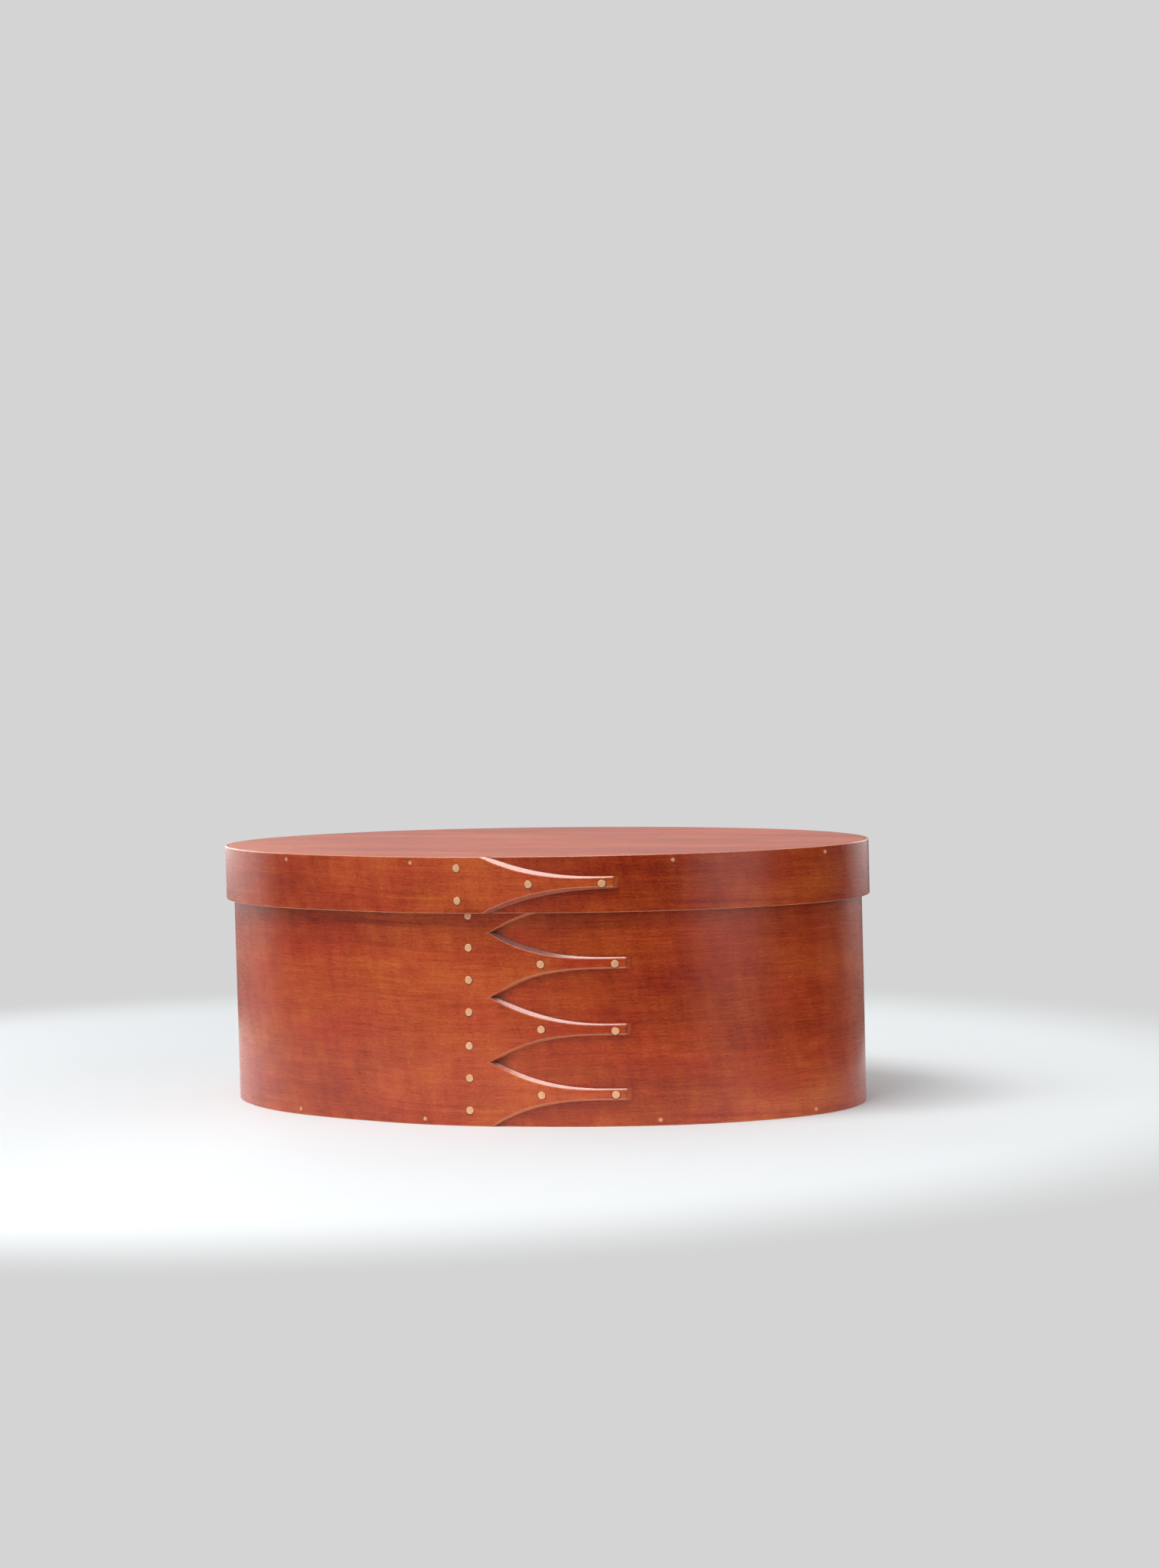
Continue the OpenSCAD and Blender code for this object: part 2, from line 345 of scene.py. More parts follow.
@dataclass(frozen=True)
class Oval:
    """The line that both bands follow, from the same arcs as the solids.

    A place on it is a run, the distance along the band from the middle of the front, positive to
    the right, and an offset outwards from the box's single layer.
    """

    half_length: float  # Half the length at offset 0
    half_depth: float  # Half the depth at offset 0
    ellipse_share: float = 0.142  # What brings the curve nearest to an ellipse

    @cached_property
    def arcs(self) -> tuple[Arc, Arc, Arc]:
        """Front, shoulder and end, whose centres are corners of 5-12-13 and 3-4-5 triangles.

        Returns:
            The three arcs, from the front to the end.
        """
        reach = self.half_length - self.half_depth
        front = round(reach * self.ellipse_share, 5)
        end = reach / 2 - 2 * front
        front_y = 12 * front + 3 * end
        front_radius = self.half_depth + front_y
        shoulder_radius = front_radius - 13 * front
        front_angle = math.atan2(5, 12)
        end_angle = math.atan2(4, 3)
        return (
            Arc(0, front_y, front_radius, 0, front_angle),
            Arc(5 * front, 3 * end, shoulder_radius, front_angle, end_angle),
            Arc(5 * front + 4 * end, 0, shoulder_radius - 5 * end, end_angle, math.pi / 2),
        )

    def quarter(self, offset: float) -> float:
        """Length of a quarter of the oval at an offset."""
        return sum(arc.run(offset) for arc in self.arcs)

    def around(self, offset: float) -> float:
        """Length of the whole oval at an offset."""
        return 4 * self.quarter(offset)

    def spot(self, run: float, base: float, lift: float = 0) -> tuple[Vector, Vector]:
        """A place on a band, and the direction outwards there.

        Args:
            run: Distance along the band, measured at offset base. It may go round and round.
            base: Offset of the band's single-layer outside.
            lift: How far the place lies outside that.

        Returns:
            The place at height 0, and the unit vector outwards.
        """
        quarter = self.quarter(base)
        wrapped = (run + 2 * quarter) % (4 * quarter) - 2 * quarter
        near = abs(wrapped)
        rest = near if near <= quarter else 2 * quarter - near
        for arc in self.arcs:
            if rest <= arc.run(base) or arc is self.arcs[-1]:
                break
            rest -= arc.run(base)
        angle = arc.start + rest / (arc.radius + base)
        side = 1 if wrapped >= 0 else -1
        back = 1 if near <= quarter else -1
        out = Vector((math.sin(angle) * side, -math.cos(angle) * back, 0))
        middle = Vector((arc.x * side, arc.y * back, 0))
        return middle + out * (arc.radius + base + lift), out


# The bands


@dataclass(frozen=True)
class Finger:
    """How one finger came out under the knife."""

    upper_power: float = 2.85  # How quickly its upper side narrows
    lower_power: float = 2.85  # How quickly its lower side narrows
    lift: float = 0.0  # How far its narrow part lies above the middle of its share of the strip
    grime_and_shade: float = 0.0  # How dark its upper bevel is near the crotch, as painted shade from the lid's overhang


@dataclass(frozen=True)
class Bevel:
    """A bevel along one side of the fingers, at the same angle all along."""

    wide: float  # Its width near the crotches, where it takes the whole thickness
    narrow: float  # Its width at the ends of the fingers
    narrowing: Pair  # Runs between which it narrows
    wear: float  # Wear of its cut wood
    crest_wear_and_highlight: float = 0.5  # Wear along its crest, and the highlight painted there

    def width(self, run: float) -> float:
        """Its width at a run."""
        return between(self.wide, self.narrow, smoothstep(run, *self.narrowing))


@dataclass(frozen=True)
class FingerCut:
    """How the outer end of a strip is cut into fingers."""

    fingers: tuple[Finger, ...]  # The fingers, from the lowest
    root: float  # Run to the crotches
    reach: float  # Run to the ends of the fingers
    tip_half: float  # Half the width of a finger at its end, across its flat
    upper: Bevel  # The bevels on their upper sides
    lower: Bevel  # The bevels on their lower sides
    climb: float = 0  # How far a finger climbs for each metre of run
    lean: float = 0  # How far the fingers' line leans to the right for each metre of height
    taper_run: float = 60 * MM
    lift_run: float = 24 * MM  # Run over which a finger leaves the middle of its share
    shape_run: float = 5 * MM  # Run past the crotches over which an arris turns into a bevel
    end_bevel: float = 2.7 * MM  # Width of the bevel across its end
    edge: float = 0.12 * MM  # Thickness that the knife leaves at the foot of a bevel
    crest: float = 0.3 * MM  # Reach of the rounding along the crest of a bevel

    @property
    def count(self) -> int:
        """Number of fingers."""
        return len(self.fingers)

    def past_root(self, run: float, start: float, end: float) -> float:
        """Eases from 0 to 1 between two distances past the crotches."""
        return smoothstep(run, self.root + start, self.root + end)


@dataclass(frozen=True)
class SoilAndShade:
    """Where the fingers are darker with dirt and painted shade, and paler where cut, besides their
    bevels' own wear.
    """

    foot: float = -1  # Painted contact shadow at the foot of a bevel
    # Share of a bevel's width where its foot starts, in the crotch and beyond
    foot_start: Pair = (0.45, 0.82)
    foot_run: float = 14 * MM  # Run past the crotches over which that changes
    bevel_shade_fade: Pair = (72 * MM, 42 * MM)  # Runs between which the painted shade on a finger's upper bevel sets in
    crotch: float = -0.85  # Darkening of a bevel in a crotch, with dirt and painted shade
    crotch_fade: Pair = (7 * MM, 1 * MM)  # Distances past the crotches between which that sets in
    layer: float = -0.8  # Darkening of the single layer in a crotch, with dirt and painted shade
    layer_fade: Pair = (14 * MM, 2 * MM)  # Distances past the crotches between which that sets in
    end_crest: float = -0.9  # Darkening along the crest of a finger's end
    end_face: float = 0.08  # Wear of its cut wood
    end_foot: float = -0.8  # Painted shadow at the foot of that cut
    end_foot_start: float = 0.9  # Share of the cut's width where its foot starts


@dataclass(frozen=True)
class Steps:
    """Largest distances between the cross-sections of a strip."""

    lapped: float = 3 * MM  # Under and over the lap
    single: float = 4 * MM  # Along the single layer
    nearing: float = 2 * MM  # Just before the lap
    root: float = 0.75 * MM  # Just before the crotches
    taper: float = 1.2 * MM  # Where the fingers narrow
    tip: float = 1.5 * MM  # Along their narrow part


@dataclass
class Band(Part):
    """A strip that is bent round the oval and lapped over its own feathered start."""

    oval: Oval
    base: float  # Offset of its single-layer outside
    thickness: float
    low: float  # Height of its lower edge
    height: float
    cut: FingerCut
    soil_and_shade: SoilAndShade = SoilAndShade()
    steps: Steps = Steps()
    feather_start: float = -54 * MM  # Run of the thin end of its start
    feather_end: float = -15 * MM  # Run where the lap has its full thickness
    feather_run: float = 45 * MM  # Run over which the lap rises
    feather_sink: float = 0.5 * MM  # How deep in the wood that rise starts
    thin: float = 0.08 * MM  # Thickness of the thin end
    hair: float = 0.01 * MM  # Gap between the two layers of the lap
    arris: float = 0.5 * MM  # Radius of the eased edges
    covered_arris: float = 0.04 * MM  # The same where the lap covers the edge
    bare_run: float = 8 * MM  # Run past the crotches over which one turns into the other
    buried_run: float = 12 * MM  # Run before the thin end over which the inner arris fades
    # Distances before the thin end where the cross-sections change their step
    nearing: Triple = (9 * MM, 1 * MM, 0.5 * MM)
    flat_columns: int = 4  # Faces across the flat of one finger
    root_run: float = 3 * MM  # Run before the crotches over which the bevels start
    # Shares of the arris at which the outer face has its points
    arris_steps: tuple[float, ...] = (0, 0.03, 0.1, 0.3, 0.62, 1)
    arris_wear_and_highlight: tuple[float, ...] = (0.4, 0.7, 1, 1, 0.6, 0)  # Wear at these points, and the highlights painted along the arris
    # Shares of the arris at which the inner face has its points
    inner_steps: tuple[float, ...] = (0, 0.3, 1)

    @cached_property
    def around(self) -> float:
        """Length of the strip's way once round."""
        return self.oval.around(self.base)

    def rise(self, run: float) -> float:
        """How far the lap stands off the single layer at a run of the front.

        Args:
            run: Run of the place.

        Returns:
            The lift of the upper face of what lies there.
        """
        share = (run - self.feather_end) / self.feather_run + 1
        if share >= 1:
            return self.thickness
        lift = (self.thickness + self.feather_sink) * math.sin(math.pi / 2 * max(share, 0))
        return max(0.0, lift - self.feather_sink)

    def faces_at(self, along: float) -> Pair:
        """Lifts of the strip's inner and outer face at a distance along it.

        Args:
            along: Distance along the strip.

        Returns:
            The lift of the inner face, and that of the outer face.
        """
        if along < self.feather_end:
            return -self.thickness, max(self.thin, self.rise(along)) - self.thickness
        run = along - self.around
        if run < self.feather_end - self.feather_run:
            return -self.thickness, 0.0
        outer = self.rise(run)
        if run < self.feather_start:
            return -self.thickness, outer
        return max(self.thin, outer) - self.thickness + self.hair, max(outer, self.thin)

    def arrises_at(self, along: float) -> Pair:
        """Radii of the inner and the outer arris at a distance along the strip.

        Args:
            along: Distance along the strip.

        Returns:
            The radius of the inner arris, and that of the outer arris.
        """
        inner, outer = self.faces_at(along)
        limit = 0.45 * (outer - inner)
        bare = self.cut.past_root(along, 0, self.bare_run)
        outer_arris = between(self.covered_arris, self.arris, bare)
        buried = smoothstep(along - self.around, self.feather_start - self.buried_run,
                            self.feather_start)
        return min(between(self.arris, 0, buried), limit), min(outer_arris, limit)

    def bevel_drop(self, past: float, wide: float) -> float:
        """How far a bevel has fallen at a distance past its crest, which is rounded.

        Args:
            past: Distance past the crest.
            wide: Distance at which it takes the whole thickness.

        Returns:
            How far it lies under the outer face.
        """
        crest = self.cut.crest
        slope = (self.thickness - self.cut.edge) / wide
        if past <= -crest:
            return 0.0
        if past < crest:
            return slope * (past + crest) ** 2 / (4 * crest)
        return min(slope * past, self.thickness - self.cut.edge)

    def layer_grime_and_shade(self, along: float) -> float:
        """Darkening of the single layer where it shows in the crotches of the fingers, with dirt
        and painted shade.
        """
        return self.soil_and_shade.layer * self.cut.past_root(along, *self.soil_and_shade.layer_fade)

    def end_wear_and_shade(self, run: float) -> float:
        """Wear and painted shade across the end of a finger: a dark crest, pale cut wood and a dark
        foot that is painted shadow.

        Args:
            run: Run of the place.

        Returns:
            The wear and painted shade there.
        """
        past = run - self.cut.reach
        if past < -self.cut.crest / 2:
            return 0.0
        if past < self.cut.crest / 2:
            return self.soil_and_shade.end_crest
        foot = past > self.soil_and_shade.end_foot_start * self.cut.end_bevel
        return self.soil_and_shade.end_foot if foot else self.soil_and_shade.end_face

    def finger_line(self, index: int, along: float) -> list[Triple]:
        """The outer face across one finger, or across its share of the strip before the fingers.

        Args:
            index: Which finger, from the lowest.
            along: Distance along the strip.

        Returns:
            Heights above the strip's lower edge, lifts, and wear with painted light and shade, from
            low to high.
        """
        cut, finger, soil_and_shade = self.cut, self.cut.fingers[index], self.soil_and_shade
        run = along - self.around
        half = self.height / cut.count / 2
        floor, ceiling = 2 * half * index, 2 * half * (index + 1)
        middle = (floor + half + cut.climb * max(0.0, run - cut.root)
                  + finger.lift * cut.past_root(run, 0, cut.lift_run))
        share = ramp(run, cut.root, cut.taper_run)
        outer = self.faces_at(along)[1]
        arris = self.arrises_at(along)[1]
        mitre = ramp(run, cut.reach, cut.end_bevel)
        started = cut.past_root(run, -self.root_run, 0)
        shaped = cut.past_root(run, -self.root_run, cut.shape_run)
        end_drop = self.bevel_drop(run - cut.reach, cut.end_bevel)
        foot_start = between(*soil_and_shade.foot_start, cut.past_root(run, 0, soil_and_shade.foot_run))
        crotch = cut.past_root(run, *soil_and_shade.crotch_fade)
        # Dirt and painted shade of the single layer in the crotches, added to every point
        grime_and_shade = self.layer_grime_and_shade(along)

        def side(upper: bool) -> list[Triple]:
            """Points from the foot of a bevel, or from the strip's arris, to the flat.

            Args:
                upper: Whether it is the upper side.

            Returns:
                Height, lift and wear of each point.
            """
            bevel, power = cut.lower, finger.lower_power
            sign, limit, edge_height, last = -1, floor, 0.0, 0
            if upper:
                bevel, power = cut.upper, finger.upper_power
                sign, limit, edge_height, last = 1, ceiling, self.height, cut.count - 1
            outermost = index == last
            width = bevel.width(run)
            flat = between(cut.tip_half, half, (1 - share) ** power)
            crest_height = middle + sign * flat
            room = sign * (limit - crest_height)
            # An upper bevel takes its finger's painted shade near the crotch, and inner bevels
            # darken in the crotches with dirt and painted shade
            face_wear_and_shade = bevel.wear
            if upper:
                face_wear_and_shade -= finger.grime_and_shade * smoothstep(run, *soil_and_shade.bevel_shade_fade)
            if not outermost:
                face_wear_and_shade = between(face_wear_and_shade, soil_and_shade.crotch, crotch)
            # From the foot, with its painted contact shadow, over the cut wood to the crest and its
            # painted highlight
            profile = (
                (width, soil_and_shade.foot), (max(width * foot_start, 2 * cut.crest), face_wear_and_shade),
                (cut.crest, face_wear_and_shade), (cut.crest / 3, bevel.crest_wear_and_highlight),
                (-cut.crest / 3, bevel.crest_wear_and_highlight), (-cut.crest, 0))
            points = []
            # Each point's wear also carries painted shade and painted highlights
            for (past, wear), step, step_wear_and_highlight in zip(profile, self.arris_steps, self.arris_wear_and_highlight):
                reached = min(past + mitre * width, width, max(room, min(past, 0)))
                height = crest_height + sign * reached
                wear = between(wear * started, self.end_wear_and_shade(run), mitre > 0) + grime_and_shade
                if outermost:
                    height = between(edge_height - sign * arris * step, height, shaped)
                    reached = sign * (height - crest_height)
                    wear = between(step_wear_and_highlight, wear, shaped)
                drop = max(self.bevel_drop(reached, bevel.wide) * started, end_drop)
                depth = arris - abs(edge_height - height)
                if outermost and depth > 0:
                    drop = max(drop, arris - math.sqrt(max(arris ** 2 - depth ** 2, 0)))
                points.append((height, outer - drop, wear))
            return points

        low_side, high_side = side(False), side(True)[::-1]
        first, last = low_side[-1][0], high_side[0][0]
        inside = [(between(first, last, i / self.flat_columns), outer - end_drop,
                   self.end_wear_and_shade(run) + grime_and_shade) for i in range(1, self.flat_columns)]
        return low_side + inside + high_side

    def strip_loop(self, along: float) -> list[Triple]:
        """The strip's whole cross-section, as a loop that ends where it starts.

        Args:
            along: Distance along the strip.

        Returns:
            Height, lift, and wear with painted light and shade, of each point.
        """
        inner = self.faces_at(along)[0]
        arris = self.arrises_at(along)[0]
        outer_line = [point for i in range(self.cut.count) for point in self.finger_line(i, along)]
        eased = [(arris * s, inner + arris - arris * math.sqrt(1 - (1 - s) ** 2))
                 for s in self.inner_steps]
        seams = [(self.height * i / self.cut.count, inner)
                 for i in range(self.cut.count - 1, 0, -1)]
        top = [(self.height - height, lift) for height, lift in eased]
        inside = [(*point, 0.0) for point in top + seams + eased[::-1]]
        return outer_line + inside + outer_line[:1]

    def finger_loop(self, index: int, along: float) -> list[Triple]:
        """A finger's whole cross-section, as a loop that ends where it starts.

        Args:
            index: Which finger, from the lowest.
            along: Distance along the strip.

        Returns:
            Height, lift and wear of each point.
        """
        line = self.finger_line(index, along)
        inner = self.faces_at(along)[0]
        return line + [(line[-1][0], inner, 0.0), (line[0][0], inner, 0.0)] + line[:1]

    def flat_place(self, along: float, point: Triple) -> Vector:
        """Where a point of a cross-section lies on the flat strip.

        Args:
            along: Distance along the strip.
            point: Its height, lift, and wear with painted light and shade.

        Returns:
            Its place.
        """
        leaning = self.cut.past_root(along - self.around, -self.root_run, 0)
        lean = self.cut.lean * (point[0] - self.height / 2) * leaning
        return Vector((along + lean, point[0], point[1]))

    def strip_stations(self) -> list[float]:
        """Distances along the strip of its cross-sections, before the fingers.

        Returns:
            The distances, from its start.
        """
        lap = self.around + self.feather_start
        far, near, last = (lap - distance for distance in self.nearing)
        uncovered = self.cut.root + self.bare_run
        root = self.around + self.cut.root - self.root_run
        return (stations(self.feather_start, uncovered, self.steps.lapped)
                + stations(uncovered, far, self.steps.single)
                + stations(far, near, self.steps.nearing) + [last]
                + stations(lap, root, self.steps.lapped) + [root])

    def finger_stations(self) -> list[float]:
        """Distances along the strip of the cross-sections of its fingers.

        Returns:
            The distances, from the crotches.
        """
        cut = self.cut
        root = self.around + cut.root
        tapered = root + cut.taper_run
        tip = self.around + cut.reach
        crest = [tip + cut.crest * share for share in (-1, -1 / 3, 1 / 3, 1)]
        fall = [between(crest[-1], tip + cut.end_bevel, share) for share in (0.33, 0.67, 1)]
        return (stations(root - self.root_run, root, self.steps.root)
                + stations(root, tapered, self.steps.taper)
                + stations(tapered, crest[0], self.steps.tip) + crest + fall)

    def loops(self, name: str, places: Sequence[float],
              loop: Callable[[float], list[Triple]]) -> Piece:
        """A skin through the cross-sections at some places along the strip.

        Args:
            name: Name of the new piece.
            places: Distances along the strip.
            loop: Gives the cross-section at such a distance.

        Returns:
            The new piece.
        """
        sections = [[(self.flat_place(along, point), point[2]) for point in loop(along)]
                    for along in places]
        return sheet_of(name, len(places), len(sections[0]), lambda i, j: sections[i][j])

    def cut_strip(self) -> Piece:
        """The flat strip with its fingers, in one closed skin.

        Returns:
            The new piece.
        """
        parts = [self.loops(self.name, self.strip_stations(), self.strip_loop)]
        for index in range(self.cut.count):
            finger = self.loops(f"{self.name}_finger", self.finger_stations(),
                                lambda along, i=index: self.finger_loop(i, along))
            parts.append(self.opened_sides(finger, index))
        return closed(joined(self.name, parts))

    def opened_sides(self, finger: Piece, index: int) -> Piece:
        """Takes away the sides of a finger where it is still one with the next finger.

        Args:
            finger: The skin of the finger.
            index: Which finger, from the lowest.

        Returns:
            The same finger.
        """
        seams = [self.height * i / self.cut.count for i in (index, index + 1)
                 if 0 < i < self.cut.count]
        corners = finger.data.vertices

        def shared(face: Face) -> bool:
            """Whether a face lies in the plane between two fingers."""
            return any(all(abs(corners[v].co.y - seam) < MERGE for v in face.vertices)
                       for seam in seams)

        if select_faces(finger, shared):
            bpy.ops.mesh.delete(type="FACE")
        return done(finger)

    def lay_grain(self, piece: Piece) -> None:
        """Gives the flat strip a map that runs along it, in metres.

        Args:
            piece: The flat strip.
        """
        grain = piece.data.uv_layers.get("grain") or piece.data.uv_layers.new(name="grain")
        for corner in piece.data.loops:
            place = piece.data.vertices[corner.vertex_index].co
            grain.data[corner.index].uv = (place.x, place.y + place.z)
        for other in [layer.name for layer in piece.data.uv_layers if layer.name != "grain"]:
            piece.data.uv_layers.remove(piece.data.uv_layers[other])

    def bend(self, piece: Piece) -> None:
        """Bends the flat strip round the oval.

        Args:
            piece: The flat strip.
        """
        for corner in piece.data.vertices:
            along, height, lift = corner.co
            place = self.oval.spot(along, self.base, lift)[0]
            corner.co = (place.x, place.y, self.low + height)

    def build(self) -> Piece:
        """Makes the band and puts it on its body.

        Returns:
            The finished band.
        """
        piece = self.cut_strip()
        self.lay_grain(piece)
        self.bend(piece)
        return self.fitted(piece)


# The boards


@dataclass
class Board(Part):
    """An oval board set inside a band."""

    oval: Oval
    offset: float  # Offset of its edge
    low: float  # Height of its underside
    thickness: float
    arris: float = 0.2 * MM  # Radius of its eased edges
    margin: float = 2 * MM  # Width of the row of faces along the rim of its large faces
    sides: int = 256
    level: float = 0.99  # Least upward or downward part of the normal of a level face
    large: float = 1e-3  # Least area of a large face, in square metres

    def build(self) -> Piece:
        """Makes the board and puts it on its body.

        Returns:
            The finished board.
        """
        piece = disc(self.sides, 1)
        piece.name = piece.data.name = self.name
        around = self.oval.around(self.offset)
        for corner in piece.data.vertices:
            turn = math.atan2(corner.co.x, -corner.co.y) / (2 * math.pi)
            corner.co = self.oval.spot(turn * around, self.offset)[0] + Vector((0, 0, self.low))
        drawn_up(piece, [(self.thickness, 1)])
        select_faces(piece, lambda face: abs(face.normal.z) > self.level)
        bpy.ops.mesh.bevel(offset=self.arris, segments=2, affect="EDGES")
        select_faces(piece, lambda face: abs(face.normal.z) > self.level and face.area > self.large)
        bpy.ops.mesh.inset(thickness=self.margin)
        return self.fitted(done(piece))


# Tacks and pegs


class Place(NamedTuple):
    """Where a fastener goes into a band: the run and the height of its axis."""

    run: float
    height: float


@dataclass
class Fasteners(Part):
    """A group of equal fasteners driven into one band."""

    band: Band
    places: Sequence[Place]

    def model(self) -> Piece:
        """Models one fastener at the origin, with +Z outwards and 0 at the single layer's face."""
        raise NotImplementedError

    def lift(self, place: Place) -> float:
        """How far the wood stands off the single layer at a place."""
        return self.band.rise(place.run)

    def worked(self, copy: Piece, chance: random.Random) -> None:
        """Works on one copy before it is driven in."""

    def variation(self, chance: random.Random) -> Matrix:
        """How one copy differs from the model."""
        return Matrix.Rotation(chance.uniform(0, 2 * math.pi), 4, "Z")

    def build(self) -> Piece:
        """Models one fastener, drives a copy in at each place, and joins the copies.

        Returns:
            The finished group.
        """
        chance = random.Random(f"{SEED}{self.name}")
        model = self.model()
        copies = []
        for place in self.places:
            pick(model)
            bpy.ops.object.duplicate(linked=False)
            copy = bpy.context.object
            spot, out = self.band.oval.spot(place.run, self.band.base, self.lift(place))
            self.worked(copy, chance)
            across = Vector((-out.y, out.x, 0))
            turned = Matrix((across, Vector((0, 0, 1)), out)).transposed().to_4x4()
            stand = Matrix.Translation(spot + Vector((0, 0, place.height)))
            copy.data.transform(stand @ turned @ self.variation(chance))
            copies.append(copy)
        pick(model)
        bpy.ops.object.delete()
        return self.fitted(joined(self.name, copies))


@dataclass
class Tacks(Fasteners):
    """Copper tacks, hammered flat outside and clinched inside."""

    head: float = 4 * MM
    head_depth: float = 0.45 * MM
    # Its steps upwards, as shares of that thickness, and how much each narrows it
    dome: tuple[Pair, ...] = ((0.5, 1.0), (0.28, 0.93), (0.14, 0.8), (0.08, 0.55))
    proud: float = 0.22 * MM  # How far its middle stands out of the wood
    shank: float = 1.3 * MM
    clinch: float = 2.5 * MM  # Length of the point that is bent over inside
    clinch_depth: float = 0.35 * MM
    clinch_taper: Triple = (0.35, 1, 0.5)  # What its end is narrowed and thinned to
    clinch_ease: float = 0.1 * MM  # Width of its rounded edges
    seat: float = 0.02 * MM  # How far it lies off the wood inside
    corners: int = 24
    dark_ring: float = 1.15  # Width of the dark ring round the head, oxide in the wood and painted shadow, as a multiple of the head's
    dark_ring_middle: Triple = (0.1 * MM, -0.06 * MM, -0.1 * MM)  # Middle of its foot, off to the right and down, where the head's painted shadow falls
    dark_ring_depth: float = 0.13 * MM
    waves: tuple[int, ...] = (2, 3, 5)  # Dents round a head, in three sets
    dent: float = 0.03  # How far out of round a head is hammered, as a share of its radius
    turn: float = 0.5  # Largest turn of a tack, in radians
    tilt: Pair = (-0.045, 0.015)  # Least and largest tilt of a head, in radians

    def model(self) -> Piece:
        """Models a tack: a domed head, a square shank, a point bent over and a dark ring of oxide
        and painted shadow.

        Returns:
            The tack.
        """
        rim = self.proud - self.head_depth
        through = 2 * self.band.thickness
        inside = -through - self.seat
        head = drawn_up(disc(self.corners, self.head / 2, (0, 0, rim)),
                        [(share * self.head_depth, scale) for share, scale in self.dome])
        shank = block((self.shank, self.shank, through), (0, 0, rim - through / 2))
        point = block((self.shank, self.clinch, self.clinch_depth), (0, self.clinch / 4, inside))
        select_faces(point, lambda face: face.normal.y > 0.9)
        bpy.ops.transform.resize(value=self.clinch_taper,
                                 center_override=(0, self.clinch, inside))
        bpy.ops.mesh.select_all(action="SELECT")
        bpy.ops.mesh.bevel(offset=self.clinch_ease, segments=2, affect="EDGES")
        done(point)
        dark_ring = drawn_up(disc(self.corners, self.head / 2 * self.dark_ring, self.dark_ring_middle),
                        [(self.dark_ring_depth, 1)])
        parts = [head, shank, point, dark_ring]
        # Only the dark ring is marked, to take the colour of oxide and painted shadow
        for part in parts:
            layer = part.data.attributes.new("stain", "FLOAT", "POINT")
            for mark in layer.data:
                mark.value = part is dark_ring
        tack = joined("tack", parts)
        edit(tack)
        face_outwards()
        return done(tack)

    def worked(self, copy: Piece, chance: random.Random) -> None:
        """Hammers the head of a copy out of round.

        Args:
            copy: A tack, still at the origin.
            chance: Source of its dents.
        """
        dents = [(waves, chance.uniform(0, 2 * math.pi), chance.uniform(0.3, 1) * self.dent)
                 for waves in self.waves]
        for corner in copy.data.vertices:
            if corner.co.z > -self.head_depth:
                turn = math.atan2(corner.co.y, corner.co.x)
                wide = 1 + sum(depth * math.sin(waves * turn + start)
                               for waves, start, depth in dents)
                corner.co.x, corner.co.y = corner.co.x * wide, corner.co.y * wide

    def variation(self, chance: random.Random) -> Matrix:
        """Turns a copy a little and tilts it.

        Args:
            chance: Source of its turn and its tilt.

        Returns:
            That turn and tilt.
        """
        turn = Matrix.Rotation(chance.uniform(-self.turn, self.turn), 4, "Z")
        nod = Matrix.Rotation(chance.uniform(*self.tilt), 4, "X")
        return nod @ Matrix.Rotation(chance.uniform(*self.tilt), 4, "Y") @ turn


@dataclass
class Pegs(Fasteners):
    """Wooden pegs through a band into the edge of a board, cut flush."""

    width: float = 2.2 * MM
    length: float = 12 * MM
    proud: float = 0.04 * MM  # How far its end stands out
    taper: float = 0.8  # Width of its inner end, as a share of the outer end's
    ease: float = 0.1 * MM  # Depth of the rounding of its outer end
    end: float = 0.9  # Width that this leaves, as a share
    corners: int = 14

    def model(self) -> Piece:
        """Models a peg: slightly tapered, with its outer end eased.

        Returns:
            The peg.
        """
        inner_end = disc(self.corners, self.width / 2 * self.taper, (0, 0, -self.length))
        return drawn_up(inner_end, ((self.length - self.ease, 1 / self.taper),
                                    (self.ease + self.proud, self.end)))

    def lift(self, place: Place) -> float:
        """How far the wood stands off the single layer: to the right, pegs go beside the lap."""
        return super().lift(place) if place.run < 0 else 0.0


# Materials


def operator(operation: str, reflected: bool = False) -> Callable[["Wire", "Number"], "Wire"]:
    """An arithmetic method that adds a Math node.

    Args:
        operation: The node's operation.
        reflected: Whether the other number comes first.

    Returns:
        The method.
    """
    def applied(self: "Wire", other: "Number") -> "Wire":
        """Adds the node."""
        return self.nodes.maths(operation, *((other, self) if reflected else (self, other)))

    return applied


class Wire:
    """An output socket, on which arithmetic adds Math nodes."""

    __add__ = __radd__ = operator("ADD")
    __mul__ = __rmul__ = operator("MULTIPLY")
    __sub__ = operator("SUBTRACT")
    __rsub__ = operator("SUBTRACT", reflected=True)
    __truediv__ = operator("DIVIDE")
    __pow__ = operator("POWER")

    def __init__(self, nodes: "Nodes", socket: bpy.types.NodeSocket) -> None:
        """Wraps an output socket of a tree."""
        self.nodes = nodes
        self.socket = socket

    def band(self, start: float, end: float) -> "Wire":
        """Eases from 0 at start to 1 at end, either way round."""
        return self.nodes.wire("ShaderNodeMapRange", {"interpolation_type": "SMOOTHSTEP"},
                                {"Value": self, "From Min": start, "From Max": end})


Number = Union[Wire, float, int]
Settings = Optional[dict[str, Any]]
Sockets = Optional[dict[Union[str, int], Any]]


